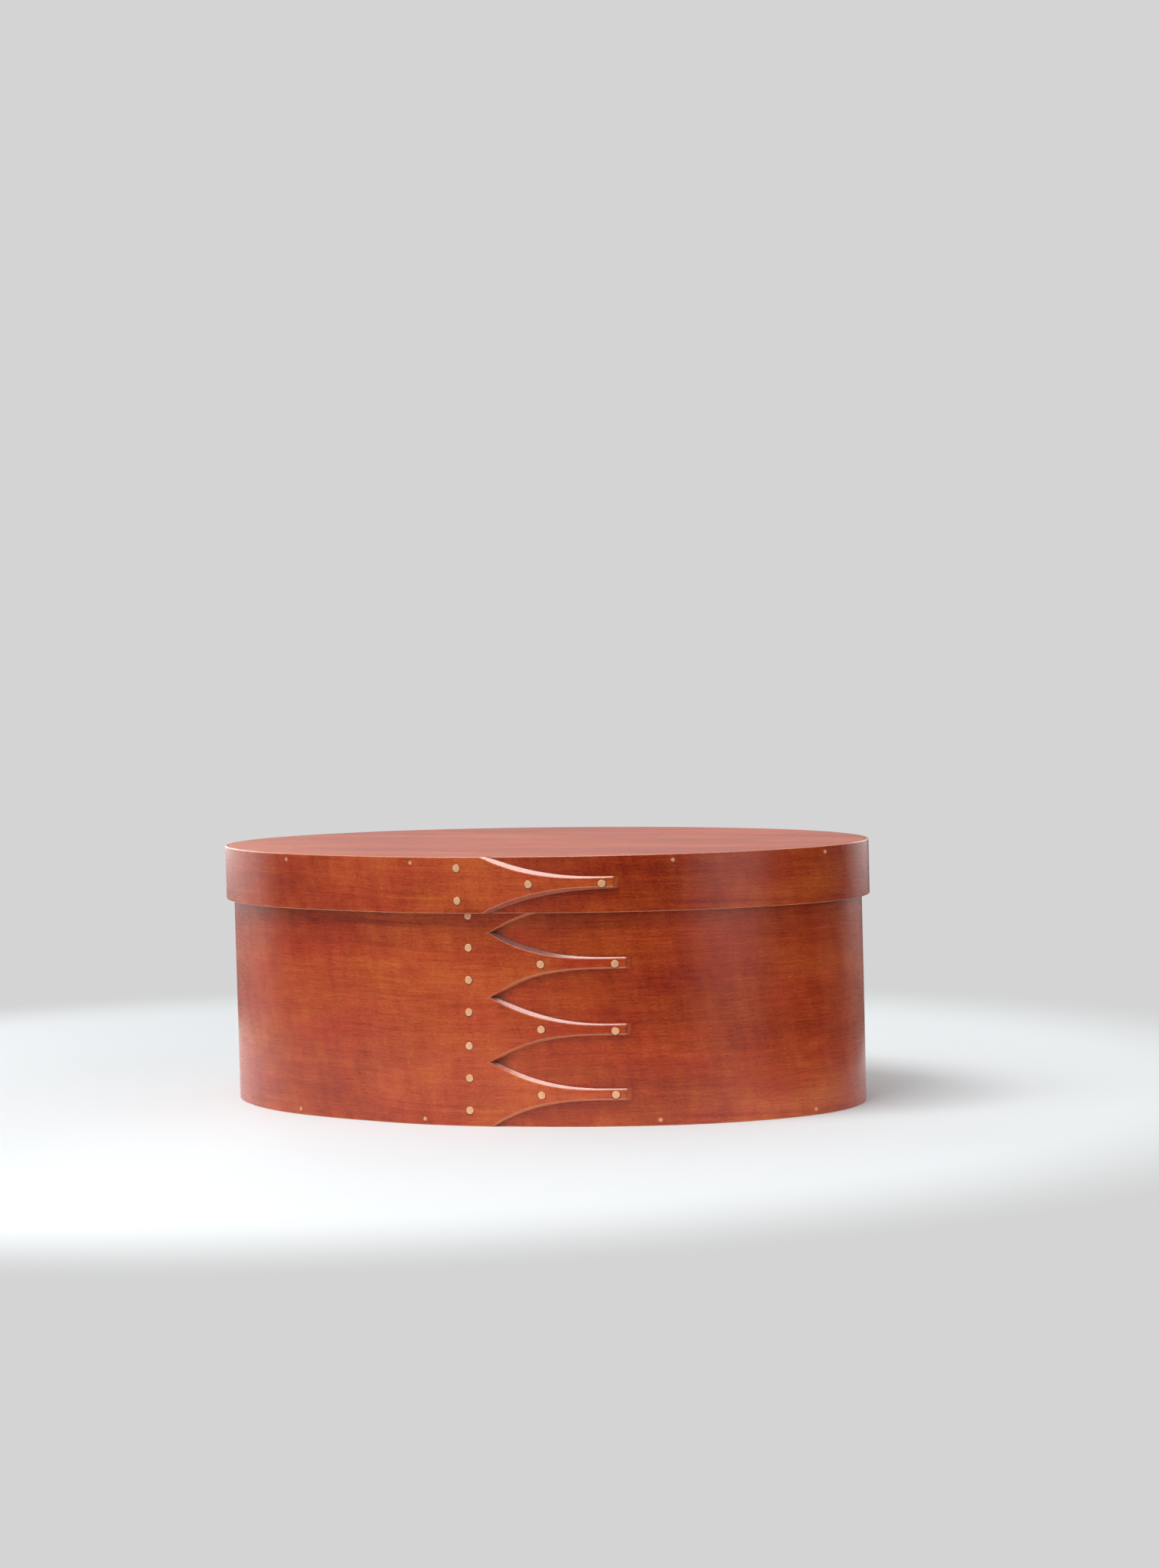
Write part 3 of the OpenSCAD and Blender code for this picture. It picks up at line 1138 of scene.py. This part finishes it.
class Nodes:
    """The shader nodes of a material or a world."""

    def __init__(self, owner: Union[Material, bpy.types.World]) -> None:
        """Empties the nodes of a material or world.

        Args:
            owner: The material or the world.
        """
        owner.use_nodes = True
        self.tree = owner.node_tree
        self.tree.nodes.clear()

    def node(self, kind: str, settings: Settings = None,
             sockets: Sockets = None) -> bpy.types.Node:
        """Adds a node.

        Args:
            kind: Type of the node.
            settings: Its own settings, set first. "stops" holds a ramp's places and colours.
            sockets: Values of its input sockets, or what is linked to them.

        Returns:
            The new node.
        """
        node = self.tree.nodes.new(kind)
        for name, value in (settings or {}).items():
            if name == "stops":
                stops = node.color_ramp.elements
                while len(stops) < len(value):
                    stops.new(1.0)
                for stop, (place, colour) in zip(stops, value):
                    stop.position = place
                    stop.color = (*colour, 1.0)
            else:
                setattr(node, name, value)
        for name, value in (sockets or {}).items():
            socket = node.inputs[name]
            if isinstance(value, Wire):
                self.tree.links.new(value.socket, socket)
            elif isinstance(value, tuple) and socket.type == "RGBA":
                socket.default_value = (*value, 1.0)
            else:
                socket.default_value = value
        return node

    def wire(self, kind: str, settings: Settings = None, sockets: Sockets = None,
             output: Union[str, int] = 0) -> Wire:
        """Adds a node and wraps one of its outputs."""
        return Wire(self, self.node(kind, settings, sockets).outputs[output])

    def maths(self, operation: str, a: Number, b: Number) -> Wire:
        """Adds a Math node."""
        return self.wire("ShaderNodeMath", {"operation": operation}, {0: a, 1: b})

    def point(self, x: Number, y: Number, z: Number) -> Wire:
        """A vector of three numbers."""
        return self.wire("ShaderNodeCombineXYZ", None, {"X": x, "Y": y, "Z": z})

    def noise(self, place: Wire, detail: float = 2, roughness: float = 0.5) -> Wire:
        """Noise about 0, from -0.5 to 0.5, whose patches are about 1 across.

        Args:
            place: What it is read by.
            detail: How much finer detail it has.
            roughness: How strong that detail is.

        Returns:
            The noise.
        """
        return self.wire("ShaderNodeTexNoise", None,
                         {"Vector": place, "Scale": 1.0, "Detail": detail,
                          "Roughness": roughness}) - 0.5

    def speckle(self, parts: Sequence[Wire], scale: float, detail: float) -> Wire:
        """Noise with so many equal patches to the metre."""
        return self.noise(self.point(*(part * scale for part in parts)), detail)

    def mixed(self, share: Number, a: Any, b: Any, blend: str = "MIX") -> Wire:
        """A colour between two others, or multiplied by the second."""
        return self.wire("ShaderNodeMix", {"data_type": "RGBA", "blend_type": blend},
                         {"Factor": share, 6: a, 7: b}, 2)

    def blended(self, share: Wire, a: Wire, b: Wire) -> Wire:
        """A shader between two others."""
        return self.wire("ShaderNodeMixShader", None, {0: share, 1: a, 2: b})

    def parts(self, vector: Wire) -> tuple[Wire, ...]:
        """The three numbers of a vector."""
        outputs = self.node("ShaderNodeSeparateXYZ", None, {"Vector": vector}).outputs
        return tuple(Wire(self, socket) for socket in outputs)

    def place(self, kind: str = "Object") -> Wire:
        """Texture coordinates of a kind."""
        return self.wire("ShaderNodeTexCoord", None, None, kind)

    def mark(self, name: str) -> Wire:
        """A number that a mesh carries at its corners."""
        return self.wire("ShaderNodeAttribute", {"attribute_name": name}, None, "Fac")

    def bump(self, strength: float, distance: float, height: Wire) -> Wire:
        """A normal that follows a height."""
        return self.wire("ShaderNodeBump", None,
                         {"Strength": strength, "Distance": distance, "Height": height})


class Finish(Nodes):
    """The nodes of one material."""

    def __init__(self, name: str) -> None:
        """Starts an empty material."""
        self.material = bpy.data.materials.new(name)
        super().__init__(self.material)

    def end(self, shader: Wire) -> Material:
        """Ends the material in a shader."""
        self.node("ShaderNodeOutputMaterial", None, {"Surface": shader})
        return self.material

    def shade(self, **sockets: Any) -> Material:
        """Ends the material in a Principled shader with these sockets."""
        named = {name.replace("_", " "): value for name, value in sockets.items()}
        return self.end(self.wire("ShaderNodeBsdfPrincipled", None, named))


class Figure(NamedTuple):
    """One layer of the figure of wood, as noise drawn out along the grain."""

    weight: float  # How much it lightens and darkens the wood
    along: float  # Its patches to the metre along the grain
    across: float  # Its patches to the metre across the grain
    slant: float = 0  # How far its patches slant
    detail: float = 2  # How much finer detail it has
    roughness: float = 0.6  # How strong that detail is


FIGURES = {
    "patches": Figure(1.0, 9, 26, 2, 3),
    "streaks": Figure(0.42, 9, 330, 0, 3),
    "threads": Figure(0.4, 45, 900),
    "specks": Figure(0.75, 620, 980),
    "fibres": Figure(0.26, 90, 2200),
}
CROSS_FIGURES = {
    "curl": Figure(0.34, 75, 14, 24),
    "mottle": Figure(0.36, 210, 85, 60),
}
WARMTHS = (Figure(1.0, 14, 40, 5), Figure(0.4, 70, 60, 20))


@dataclass(frozen=True)
class Cherry:
    """Oiled cherry."""

    name: str
    dark: Colour = (0.21, 0.009, 0.0015)  # Colour of its darkest wood
    middle: Colour = (0.385, 0.035, 0.006)  # Colour of most of it
    light: Colour = (0.57, 0.087, 0.022)  # Colour of its lightest wood
    # How light the wood is where it has these colours
    places: Triple = (0.12, 0.5, 0.92)
    warm: Colour = (1.0, 1.45, 0.75)  # What its colour is multiplied by where it is warmest
    warming: Pair = (-0.25, 0.25)  # Values of the noise between which it gets there
    pale: Colour = (0.76, 0.36, 0.18)  # Colour of wood paled by wear and freshly cut, and of highlights painted along crests and arrises
    rubbed_and_highlit: float = 0.55  # How much of that colour it gets at most
    grime_and_shade: Colour = (0.045, 0.008, 0.004)  # Colour of dirt in corners, also painted as shade in crotches, at the feet of bevels and under the lid
    grime_and_shade_share: float = 0.85  # How much of that colour it gets at most
    lines: float = 0.16  # How much darker its pitch lines are
    line_start: float = 31  # Where their noise starts along the grain
    line_sizes: Pair = (5, 150)  # Its patches to the metre, along and across the grain
    line_edge: Pair = (0.16, 0.26)  # Its values between which a line gets its darkness
    relief: float = 0.12  # Strength of the relief of its grain
    relief_depth: float = 0.05 * MM
    relief_shares: Pair = (0.6, 0.25)  # How much its fibres and its streaks give to that
    roughness: float = 0.28
    uneven: Pair = (0.12, 0.06)  # How much rougher it is where dirt and painted shade darken it
    dulled: float = 0.3  # How much rougher it is under grime
    dulling: Pair = (-0.2, -0.8)  # Marks of wear and painted light between which it gets so rough
    coat: float = 0.65  # Strength of the shine on faces that look up at a slant
    # Upward parts of a normal between which that sets in, and between which it is gone again
    slants: tuple[Pair, Pair] = ((0.38, 0.56), (0.95, 0.85))
    shining: Pair = (-0.6, -0.25)  # Marks of wear and painted light between which it sets in
    coat_roughness: float = 0.12
    tone: float = 0.5  # How light it is as a whole, 0.5 for the middle
    figured: float = 1.0  # How strong its figure across the grain is
    rings: float = 0.6  # How much a board's rings lighten and darken it
    start_shade: float = -0.01  # How much darker a strip is towards its covered start
    lap_tone: float = 0.08  # How much lighter it is towards its lap
    tip_shade: float = 0.07  # How much darker it is beyond the ends of the fingers
    lid_shade: float = 0.1  # How much darker it is on the left, under the lid
    start_fade: Pair = (260 * MM, 60 * MM)  # Distances along it between which its start sets in
    lap_fade: Pair = (-260 * MM, -40 * MM)  # Runs between which the lap's tone sets in
    # Runs between which the shade beyond the fingers sets in, from the left and from the right
    tip_fades: tuple[Pair, Pair] = ((75 * MM, 100 * MM), (150 * MM, 118 * MM))
    left_fade: Pair = (-330 * MM, -240 * MM)  # Runs between which the left sets in
    lid_fade: Pair = (70 * MM, 104 * MM)  # Heights between which the shade of the lid sets in

    def coloured(self, finish: Finish, along: Wire, across: Wire, depth: Number,
                 tone: Wire, worn: Optional[Wire] = None) -> Material:
        """Colours, streaks and polishes wood whose grain runs along.

        Args:
            finish: The material to finish.
            along: Distance along the grain, in metres.
            across: Distance across it.
            depth: Distance into the wood.
            tone: How light the wood is here.
            worn: Wear and painted light: paler above 0 for wear and painted highlights, darker
                below 0 for dirt and painted shade.

        Returns:
            The finished material.
        """
        def drawn(figure: Figure) -> Wire:
            """The noise of a layer.

            Args:
                figure: The layer.

            Returns:
                Its noise, drawn out along the grain.
            """
            place = finish.point(along * figure.along + across * figure.slant,
                                 across * figure.across - along * figure.slant,
                                 depth * figure.across)
            return finish.noise(place, figure.detail, figure.roughness)

        layers = {name: drawn(figure) for name, figure in (FIGURES | CROSS_FIGURES).items()}
        shade = tone
        for name, figure in FIGURES.items():
            shade = shade + layers[name] * figure.weight
        for name, figure in CROSS_FIGURES.items():
            shade = shade + layers[name] * (figure.weight * self.figured)
        fibres, streaks = layers["fibres"], layers["streaks"]
        long, fine = self.line_sizes
        lines = finish.noise(finish.point(along * long + self.line_start, across * fine,
                                          depth * fine))
        shade = shade - lines.band(*self.line_edge) * self.lines
        stops = tuple(zip(self.places, (self.dark, self.middle, self.light)))
        colour = finish.wire("ShaderNodeValToRGB", {"stops": stops}, {"Fac": shade})
        broad, small = (drawn(figure) * figure.weight for figure in WARMTHS)
        colour = finish.mixed((broad + small).band(*self.warming), colour, self.warm, "MULTIPLY")
        polish = fibres * self.uneven[0] + layers["curl"] * self.uneven[1] + self.roughness
        up = finish.parts(finish.place("Normal"))[2]
        shine = up.band(*self.slants[0]) * up.band(*self.slants[1]) * self.coat
        if worn:
            # Wear and painted highlights pale the wood; dirt and painted shade darken it
            colour = finish.mixed(worn.band(0, 1) * self.rubbed_and_highlit, colour, self.pale)
            colour = finish.mixed(worn.band(0, -1) * self.grime_and_shade_share, colour, self.grime_and_shade)
            polish = polish + worn.band(*self.dulling) * self.dulled
            shine = shine * worn.band(*self.shining)
        grain = fibres * self.relief_shares[0] + streaks * self.relief_shares[1]
        bump = finish.bump(self.relief, self.relief_depth, grain)
        return finish.shade(Base_Color=colour, Roughness=polish, Specular_IOR_Level=0.5,
                            Coat_Weight=shine, Coat_Roughness=self.coat_roughness, Normal=bump)

    def strip(self, around: float) -> Material:
        """Cherry whose grain runs along a bent strip.

        Args:
            around: Length of the strip's way once round.

        Returns:
            The finished material.
        """
        finish = Finish(self.name)
        along, across, _ = finish.parts(finish.wire("ShaderNodeUVMap", {"uv_map": "grain"}))
        lapping, on_the_left = (along.band(around + start, around + end)
                                for start, end in (self.lap_fade, self.left_fade))
        starting = along.band(*self.start_fade)
        beyond_tips = along.band(*self.tip_fades[0]) * along.band(*self.tip_fades[1])
        under_lid = across.band(*self.lid_fade) * on_the_left
        tone = (self.tone + lapping * self.lap_tone - starting * self.start_shade
                - beyond_tips * self.tip_shade - under_lid * self.lid_shade)
        return self.coloured(finish, along, across, 0.0, tone, finish.mark("worn"))

    def sawn(self) -> Material:
        """Cherry sawn flat into a board, with its grain along X.

        Returns:
            The finished material.
        """
        finish = Finish(self.name)
        along, across, depth = finish.parts(finish.place())
        wander = finish.noise(finish.point(along * 5, across * 9, 0.0), 3)
        arch = (across + wander * 0.05) ** 2 + (along * 0.12 + 0.02) ** 2
        rings = finish.noise(finish.point(0.0, arch * 900, depth * 20))
        return self.coloured(finish, along, across, depth, rings * self.rings + self.tone)


@dataclass(frozen=True)
class Copper:
    """Hammered copper of the tacks."""

    name: str
    bright: Colour = (0.90, 0.48, 0.26)  # Colour of its rubbed places
    dull: Colour = (0.70, 0.33, 0.17)  # Colour of its duller places
    stain: Colour = (0.12, 0.032, 0.015)  # Colour of the ring round it in the wood: oxide, and the painted shadow of its head
    metallic: float = 0.3

    def build(self) -> Material:
        """Makes the material.

        Returns:
            The finished material.
        """
        finish = Finish(self.name)
        place = finish.parts(finish.place())
        marks = finish.speckle(place, 900, 2)
        tarnish = finish.speckle(place, 320, 3)
        # Marks the dark ring of oxide and painted shadow
        stain_and_shadow_share = finish.mark("stain")
        colour = finish.mixed((tarnish + 0.35).band(0, 0.9), self.bright, self.dull)
        return finish.shade(Base_Color=finish.mixed(stain_and_shadow_share, colour, self.stain),
                            Metallic=self.metallic - stain_and_shadow_share * self.metallic,
                            Roughness=tarnish * 0.2 + 0.45,
                            Normal=finish.bump(0.35, 0.1 * MM, marks))


@dataclass(frozen=True)
class PegWood:
    """Pale end grain of the pegs."""

    name: str
    light: Colour = (0.74, 0.42, 0.23)
    dark: Colour = (0.48, 0.22, 0.10)

    def build(self) -> Material:
        """Makes the material.

        Returns:
            The finished material.
        """
        finish = Finish(self.name)
        place = finish.parts(finish.place())
        specks, patches = finish.speckle(place, 1500, 2), finish.speckle(place, 60, 1)
        colour = finish.mixed((specks + patches).band(-0.4, 0.4), self.light, self.dark)
        return finish.shade(Base_Color=colour, Roughness=specks * 0.1 + 0.45)


# Camera, light and floor


@dataclass(frozen=True)
class View:
    """The photograph's viewpoint."""

    place: Triple = (0.8199, -1.8626, 0.2660)
    pitch: float = 0.0485  # How far it looks down, in radians
    roll: float = 0.0265  # How far it is turned clockwise about its own axis, in radians
    lens: float = 87.6  # Focal length for a 36 mm sensor along the longer side, in millimetres
    nearest: float = 0.05  # Where it starts to see

    def build(self) -> None:
        """Sets the camera up and makes it the scene's."""
        deselect()
        bpy.ops.object.camera_add(location=self.place)
        camera = bpy.context.object
        forward = Vector(AHEAD).normalized() * math.cos(self.pitch)
        forward.z = -math.sin(self.pitch)
        look = forward.to_track_quat("-Z", "Y")
        camera.rotation_mode = "QUATERNION"
        camera.rotation_quaternion = look @ Matrix.Rotation(-self.roll, 3, "Z").to_quaternion()
        camera.data.lens = self.lens
        camera.data.clip_start = self.nearest
        bpy.context.scene.camera = camera


@dataclass(frozen=True)
class Lamp:
    """A soft rectangular light that faces the middle of the box."""

    name: str
    place: Triple
    size: Pair
    radiance: float  # How bright its face is, 1 for white
    aim: Triple = (0, 0, 0.06)

    def build(self) -> None:
        """Hangs the lamp."""
        deselect()
        bpy.ops.object.light_add(type="AREA", location=self.place)
        lamp = bpy.context.object
        lamp.name = self.name
        lamp.rotation_mode = "QUATERNION"
        towards = Vector(self.aim) - Vector(self.place)
        lamp.rotation_quaternion = towards.to_track_quat("-Z", "Y")
        lamp.data.shape = "RECTANGLE"
        lamp.data.size, lamp.data.size_y = self.size
        lamp.data.energy = math.pi * self.size[0] * self.size[1] * self.radiance
        lamp.visible_camera = False


@dataclass(frozen=True)
class Studio:
    """A plain pale floor in a plain pale room, which is darker behind the camera."""

    pale: Colour = (0.82, 0.86, 0.88)  # Colour of the floor under the box
    # The same to the camera, and on the left, which the side window lights more
    shown: tuple[Colour, Colour] = ((0.74, 0.775, 0.79), (0.64, 0.67, 0.685))
    shown_fade: Pair = (-0.05, -0.3)  # Places along X where one turns into the other
    wall: Colour = (0.66, 0.66, 0.66)  # Colour of the room, also that of the floor farther off
    dim: Colour = (0.05, 0.05, 0.05)  # The same behind the camera, for reflections alone
    dim_fade: Pair = (0.10, -0.30)  # Parts of a direction ahead where that starts and is full
    ambient: float = 0.30  # Strength of the light from all round
    roughness: float = 0.7
    width: float = 12
    brightest: Triple = (-0.12, 0, 0)  # Middle of the bright part of the floor
    fade: Pair = (0.42, 0.58)  # Radii between which the floor turns into the room's colour
    mirrored: float = 0.80  # What these radii are multiplied by for all but the camera
    lamps: tuple[Lamp, ...] = (
        Lamp("skylight", (-0.25, -0.85, 1.90), (1.4, 0.8), 9.5),
        Lamp("high_light", (-1.10, -1.00, 1.30), (0.8, 0.8), 2.6),
        Lamp("side_window", (-1.78, 0.83, 0.45), (2.2, 1.4), 2.2),
        Lamp("back_window", (0.75, 1.75, 0.40), (1.4, 1.2), 1.8),
        Lamp("left_window", (-0.92, -1.76, 0.20), (2.7, 1.2), 0.5),
        Lamp("right_window", (1.70, -1.15, 0.20), (1.0, 1.4), 2.2),
        Lamp("right_light", (1.70, -0.30, 1.30), (0.8, 0.8), 2.0),
    )

    def build(self) -> None:
        """Lays the floor, lights the room and sets the view transform."""
        for lamp in self.lamps:
            lamp.build()
        deselect()
        bpy.ops.mesh.primitive_grid_add(x_subdivisions=4, y_subdivisions=4, size=self.width)
        floor = bpy.context.object
        floor.name = "floor"
        floor.data.materials.append(self.floor_finish())
        self.light_room()
        bpy.context.scene.view_settings.view_transform = "Standard"

    def floor_finish(self) -> Material:
        """Pale near the box, and to the camera the colour of the room farther off.

        Returns:
            The finished material.
        """
        finish = Finish("pale_floor")
        away = finish.wire("ShaderNodeVectorMath", {"operation": "DISTANCE"},
                           {0: finish.place(), 1: self.brightest}, "Value")
        camera = finish.wire("ShaderNodeLightPath", None, None, "Is Camera Ray")
        reach = camera * (1 - self.mirrored) + self.mirrored
        leftwards = finish.parts(finish.place())[0].band(*self.shown_fade)
        near_colour = finish.mixed(camera, self.pale, finish.mixed(leftwards, *self.shown))
        near, dim = (finish.wire("ShaderNodeBsdfPrincipled", None,
                                 {"Base Color": colour, "Roughness": self.roughness})
                     for colour in (near_colour, self.dim))
        seen = finish.wire("ShaderNodeEmission", None, {"Color": self.wall, "Strength": 1.0})
        far = finish.blended(camera, dim, seen)
        return finish.end(finish.blended((away / reach).band(*self.fade), near, far))

    def light_room(self) -> None:
        """Gives the room its light, and its own colour to the camera and to reflections."""
        world = bpy.context.scene.world or bpy.data.worlds.new("room")
        bpy.context.scene.world = world
        nodes = Nodes(world)
        path = nodes.node("ShaderNodeLightPath").outputs
        camera, glossy, through = (Wire(nodes, path[f"Is {kind} Ray"])
                                   for kind in ("Camera", "Glossy", "Transmission"))
        ahead = nodes.wire("ShaderNodeVectorMath", {"operation": "DOT_PRODUCT"},
                           {0: nodes.place("Generated"), 1: AHEAD}, "Value")
        colour = nodes.mixed(glossy * ahead.band(*self.dim_fade), self.wall, self.dim)
        lit, seen = (nodes.wire("ShaderNodeBackground", None, {"Color": shade, "Strength": power})
                     for shade, power in (((1.0, 1.0, 1.0), self.ambient), (colour, 1.0)))
        nodes.node("ShaderNodeOutputWorld", None,
                   {"Surface": nodes.blended(camera + glossy + through, lit, seen)})


# The whole box


@dataclass
class OvalBox:
    """The box and its lid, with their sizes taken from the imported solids."""

    root_tacks: float = 8 * MM  # Run of the box's tacks at the root of the fingers, half way up
    middle_tacks: float = 46.1 * MM  # Run of its tacks half way along them
    tip_tacks: float = 83.8 * MM  # Run of its tacks at their ends
    pair_half: float = 8.2 * MM  # Half the distance between the two tacks of a pair
    # How far each tack of a pair is off its place, from the lowest, in millimetres
    root_drift: tuple[float, ...] = (-0.1, -0.1, -0.1, 0.8, 0.7, 0.7, 0.6, 0.5)
    middle_drift: tuple[float, ...] = (-0.2, 0.4, 0.5, 0.3)  # The same half way along the fingers
    tip_drift: tuple[float, ...] = (0, -0.6, 0.4, 0.2)  # The same at their ends
    lid_root_tacks: float = 4.9 * MM  # Run of the lid's pair of tacks
    lid_pair_half: float = 8.25 * MM  # Half the distance between them
    lid_row: Pair = (42.9 * MM, 80.2 * MM)  # Runs of its other tacks
    lid_rise: float = 0.4 * MM  # How far its tacks lie above the middle of its band
    # Runs to the first peg on the right and on the left of the front, in millimetres
    box_pegs: Pair = (105, 18.4)
    lid_pegs: Pair = (116, 21)
    peg_step: float = 85  # Run from peg to peg, in millimetres
    pegs_per_side: int = 5  # Pegs to the right of the front, and to the left
    pieces: list[Piece] = field(default_factory=list)

    def __post_init__(self) -> None:
        """Measures the solids."""
        band_low, band_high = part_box("box_band")
        lid_low, lid_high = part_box("lid_band")
        self.oval = Oval(round(band_high.x, 5), round(band_high.y, 5))
        thickness = round(-band_low.y - band_high.y, 5)
        self.box = Band(
            "box_side", "box_band", "box", Slot.BAND, self.oval, 0.0, thickness, 0.0, band_high.z,
            FingerCut(
                fingers=(Finger(upper_power=2.6), Finger(upper_power=2.3),
                         Finger(lift=0.75 * MM, grime_and_shade=0.45), Finger()),
                root=19.1 * MM, reach=89.3 * MM, tip_half=2.2 * MM,
                upper=Bevel(2.5 * MM, 0.9 * MM, (30 * MM, 85 * MM), -0.2),
                lower=Bevel(1.7 * MM, 0.8 * MM, (20 * MM, 85 * MM), 0.5, 0.8),
                lean=0.018))
        self.lid = Band(
            "lid_side", "lid_band", "lid", Slot.BAND, self.oval,
            round(lid_high.x - band_high.x, 5), round(-lid_low.y - lid_high.y, 5), lid_low.z,
            lid_high.z - lid_low.z,
            FingerCut(
                fingers=(Finger(2.4, 2.4),), root=17 * MM, reach=86 * MM, tip_half=2.1 * MM,
                upper=Bevel(2.5 * MM, 0.7 * MM, (34 * MM, 92 * MM), -0.1),
                lower=Bevel(2.7 * MM, 1.1 * MM, (34 * MM, 92 * MM), 0.05, 1.0),
                climb=0.016))

    def boards(self) -> list[Board]:
        """The bottom of the box and the top of the lid.

        Returns:
            The bottom, then the top.
        """
        made = []
        for name, node, body in (("bottom_board", "box_bottom", "box"),
                                 ("top_board", "lid_top", "lid")):
            low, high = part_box(node)
            made.append(Board(name, node, body, Slot.BOARD, self.oval,
                              high.x - self.oval.half_length, low.z, high.z - low.z))
        return made

    def tacks(self) -> list[Tacks]:
        """The box's and the lid's tacks.

        Returns:
            A part for each group of tacks.
        """
        box, lid = self.box, self.lid
        step = box.height / box.cut.count
        middles = [step * (i + 0.5) for i in range(box.cut.count)]
        pairs = [z + side * self.pair_half for z in middles for side in (-1, 1)]

        def column(run: float, heights: Iterable[float], drift: Iterable[float]) -> list[Place]:
            """Places on the box in a column that leans with the fingers.

            Args:
                run: Run of the column half way up.
                heights: Heights of the tacks.
                drift: How far each is off its height, in millimetres.

            Returns:
                The places, from the lowest.
            """
            places = []
            for height, off in zip(heights, drift):
                height += off * MM
                places.append(Place(run + box.cut.lean * (height - box.height / 2), height))
            return places

        row = lid.low + lid.height / 2 + self.lid_rise
        groups = (
            ("box_root", box, column(self.root_tacks, pairs, self.root_drift)),
            ("box_middle", box, column(self.middle_tacks, middles, self.middle_drift)),
            ("box_tip", box, column(self.tip_tacks, middles, self.tip_drift)),
            ("lid_root", lid, [Place(self.lid_root_tacks, row + side * self.lid_pair_half)
                               for side in (-1, 1)]),
            ("lid_finger", lid, [Place(run, row) for run in self.lid_row]),
        )
        return [Tacks(f"{name}_tack_group", f"{name}_tacks", band.body, Slot.COPPER, band, places)
                for name, band, places in groups]

    def pegs(self) -> list[Pegs]:
        """The box's and the lid's pegs.

        Returns:
            A part for each group of pegs.
        """
        made = []
        for band, board, (right, left) in ((self.box, "box_bottom", self.box_pegs),
                                           (self.lid, "lid_top", self.lid_pegs)):
            low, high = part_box(board)
            runs = [run for i in range(self.pegs_per_side)
                    for run in (right + self.peg_step * i, -left - self.peg_step * i)]
            places = [Place(run * MM, (low.z + high.z) / 2) for run in runs]
            made.append(Pegs(f"{band.body}_peg_group", f"{band.body}_pegs", band.body, Slot.PEG,
                             band, places))
        return made

    def build(self) -> None:
        """Builds and dresses every piece."""
        finishes = {
            "box_side": Cherry("box_cherry").strip(self.box.around),
            "lid_side": Cherry("lid_cherry", tone=0.48, start_shade=0.09).strip(self.lid.around),
            "bottom_board": Cherry("bottom_cherry", figured=0.4).sawn(),
            "top_board": Cherry("top_cherry", tone=0.56, roughness=0.38, figured=0.4).sawn(),
            Slot.COPPER: Copper("tack_copper").build(),
            Slot.PEG: PegWood("peg_end_grain").build(),
        }
        for part in [self.box, self.lid, *self.boards(), *self.tacks(), *self.pegs()]:
            piece = part.build()
            piece.data.materials.clear()
            piece.data.materials.append(finishes.get(part.name) or finishes[part.slot])
            self.pieces.append(piece)
            log.info("%s: %d faces, on %s", piece.name, len(piece.data.polygons), part.body)


def main() -> None:
    """Builds the view, the studio and the box."""
    logging.basicConfig(level=logging.INFO, format="%(name)s %(message)s")
    View().build()
    Studio().build()
    OvalBox().build()


if __name__ == "__main__":
    main()
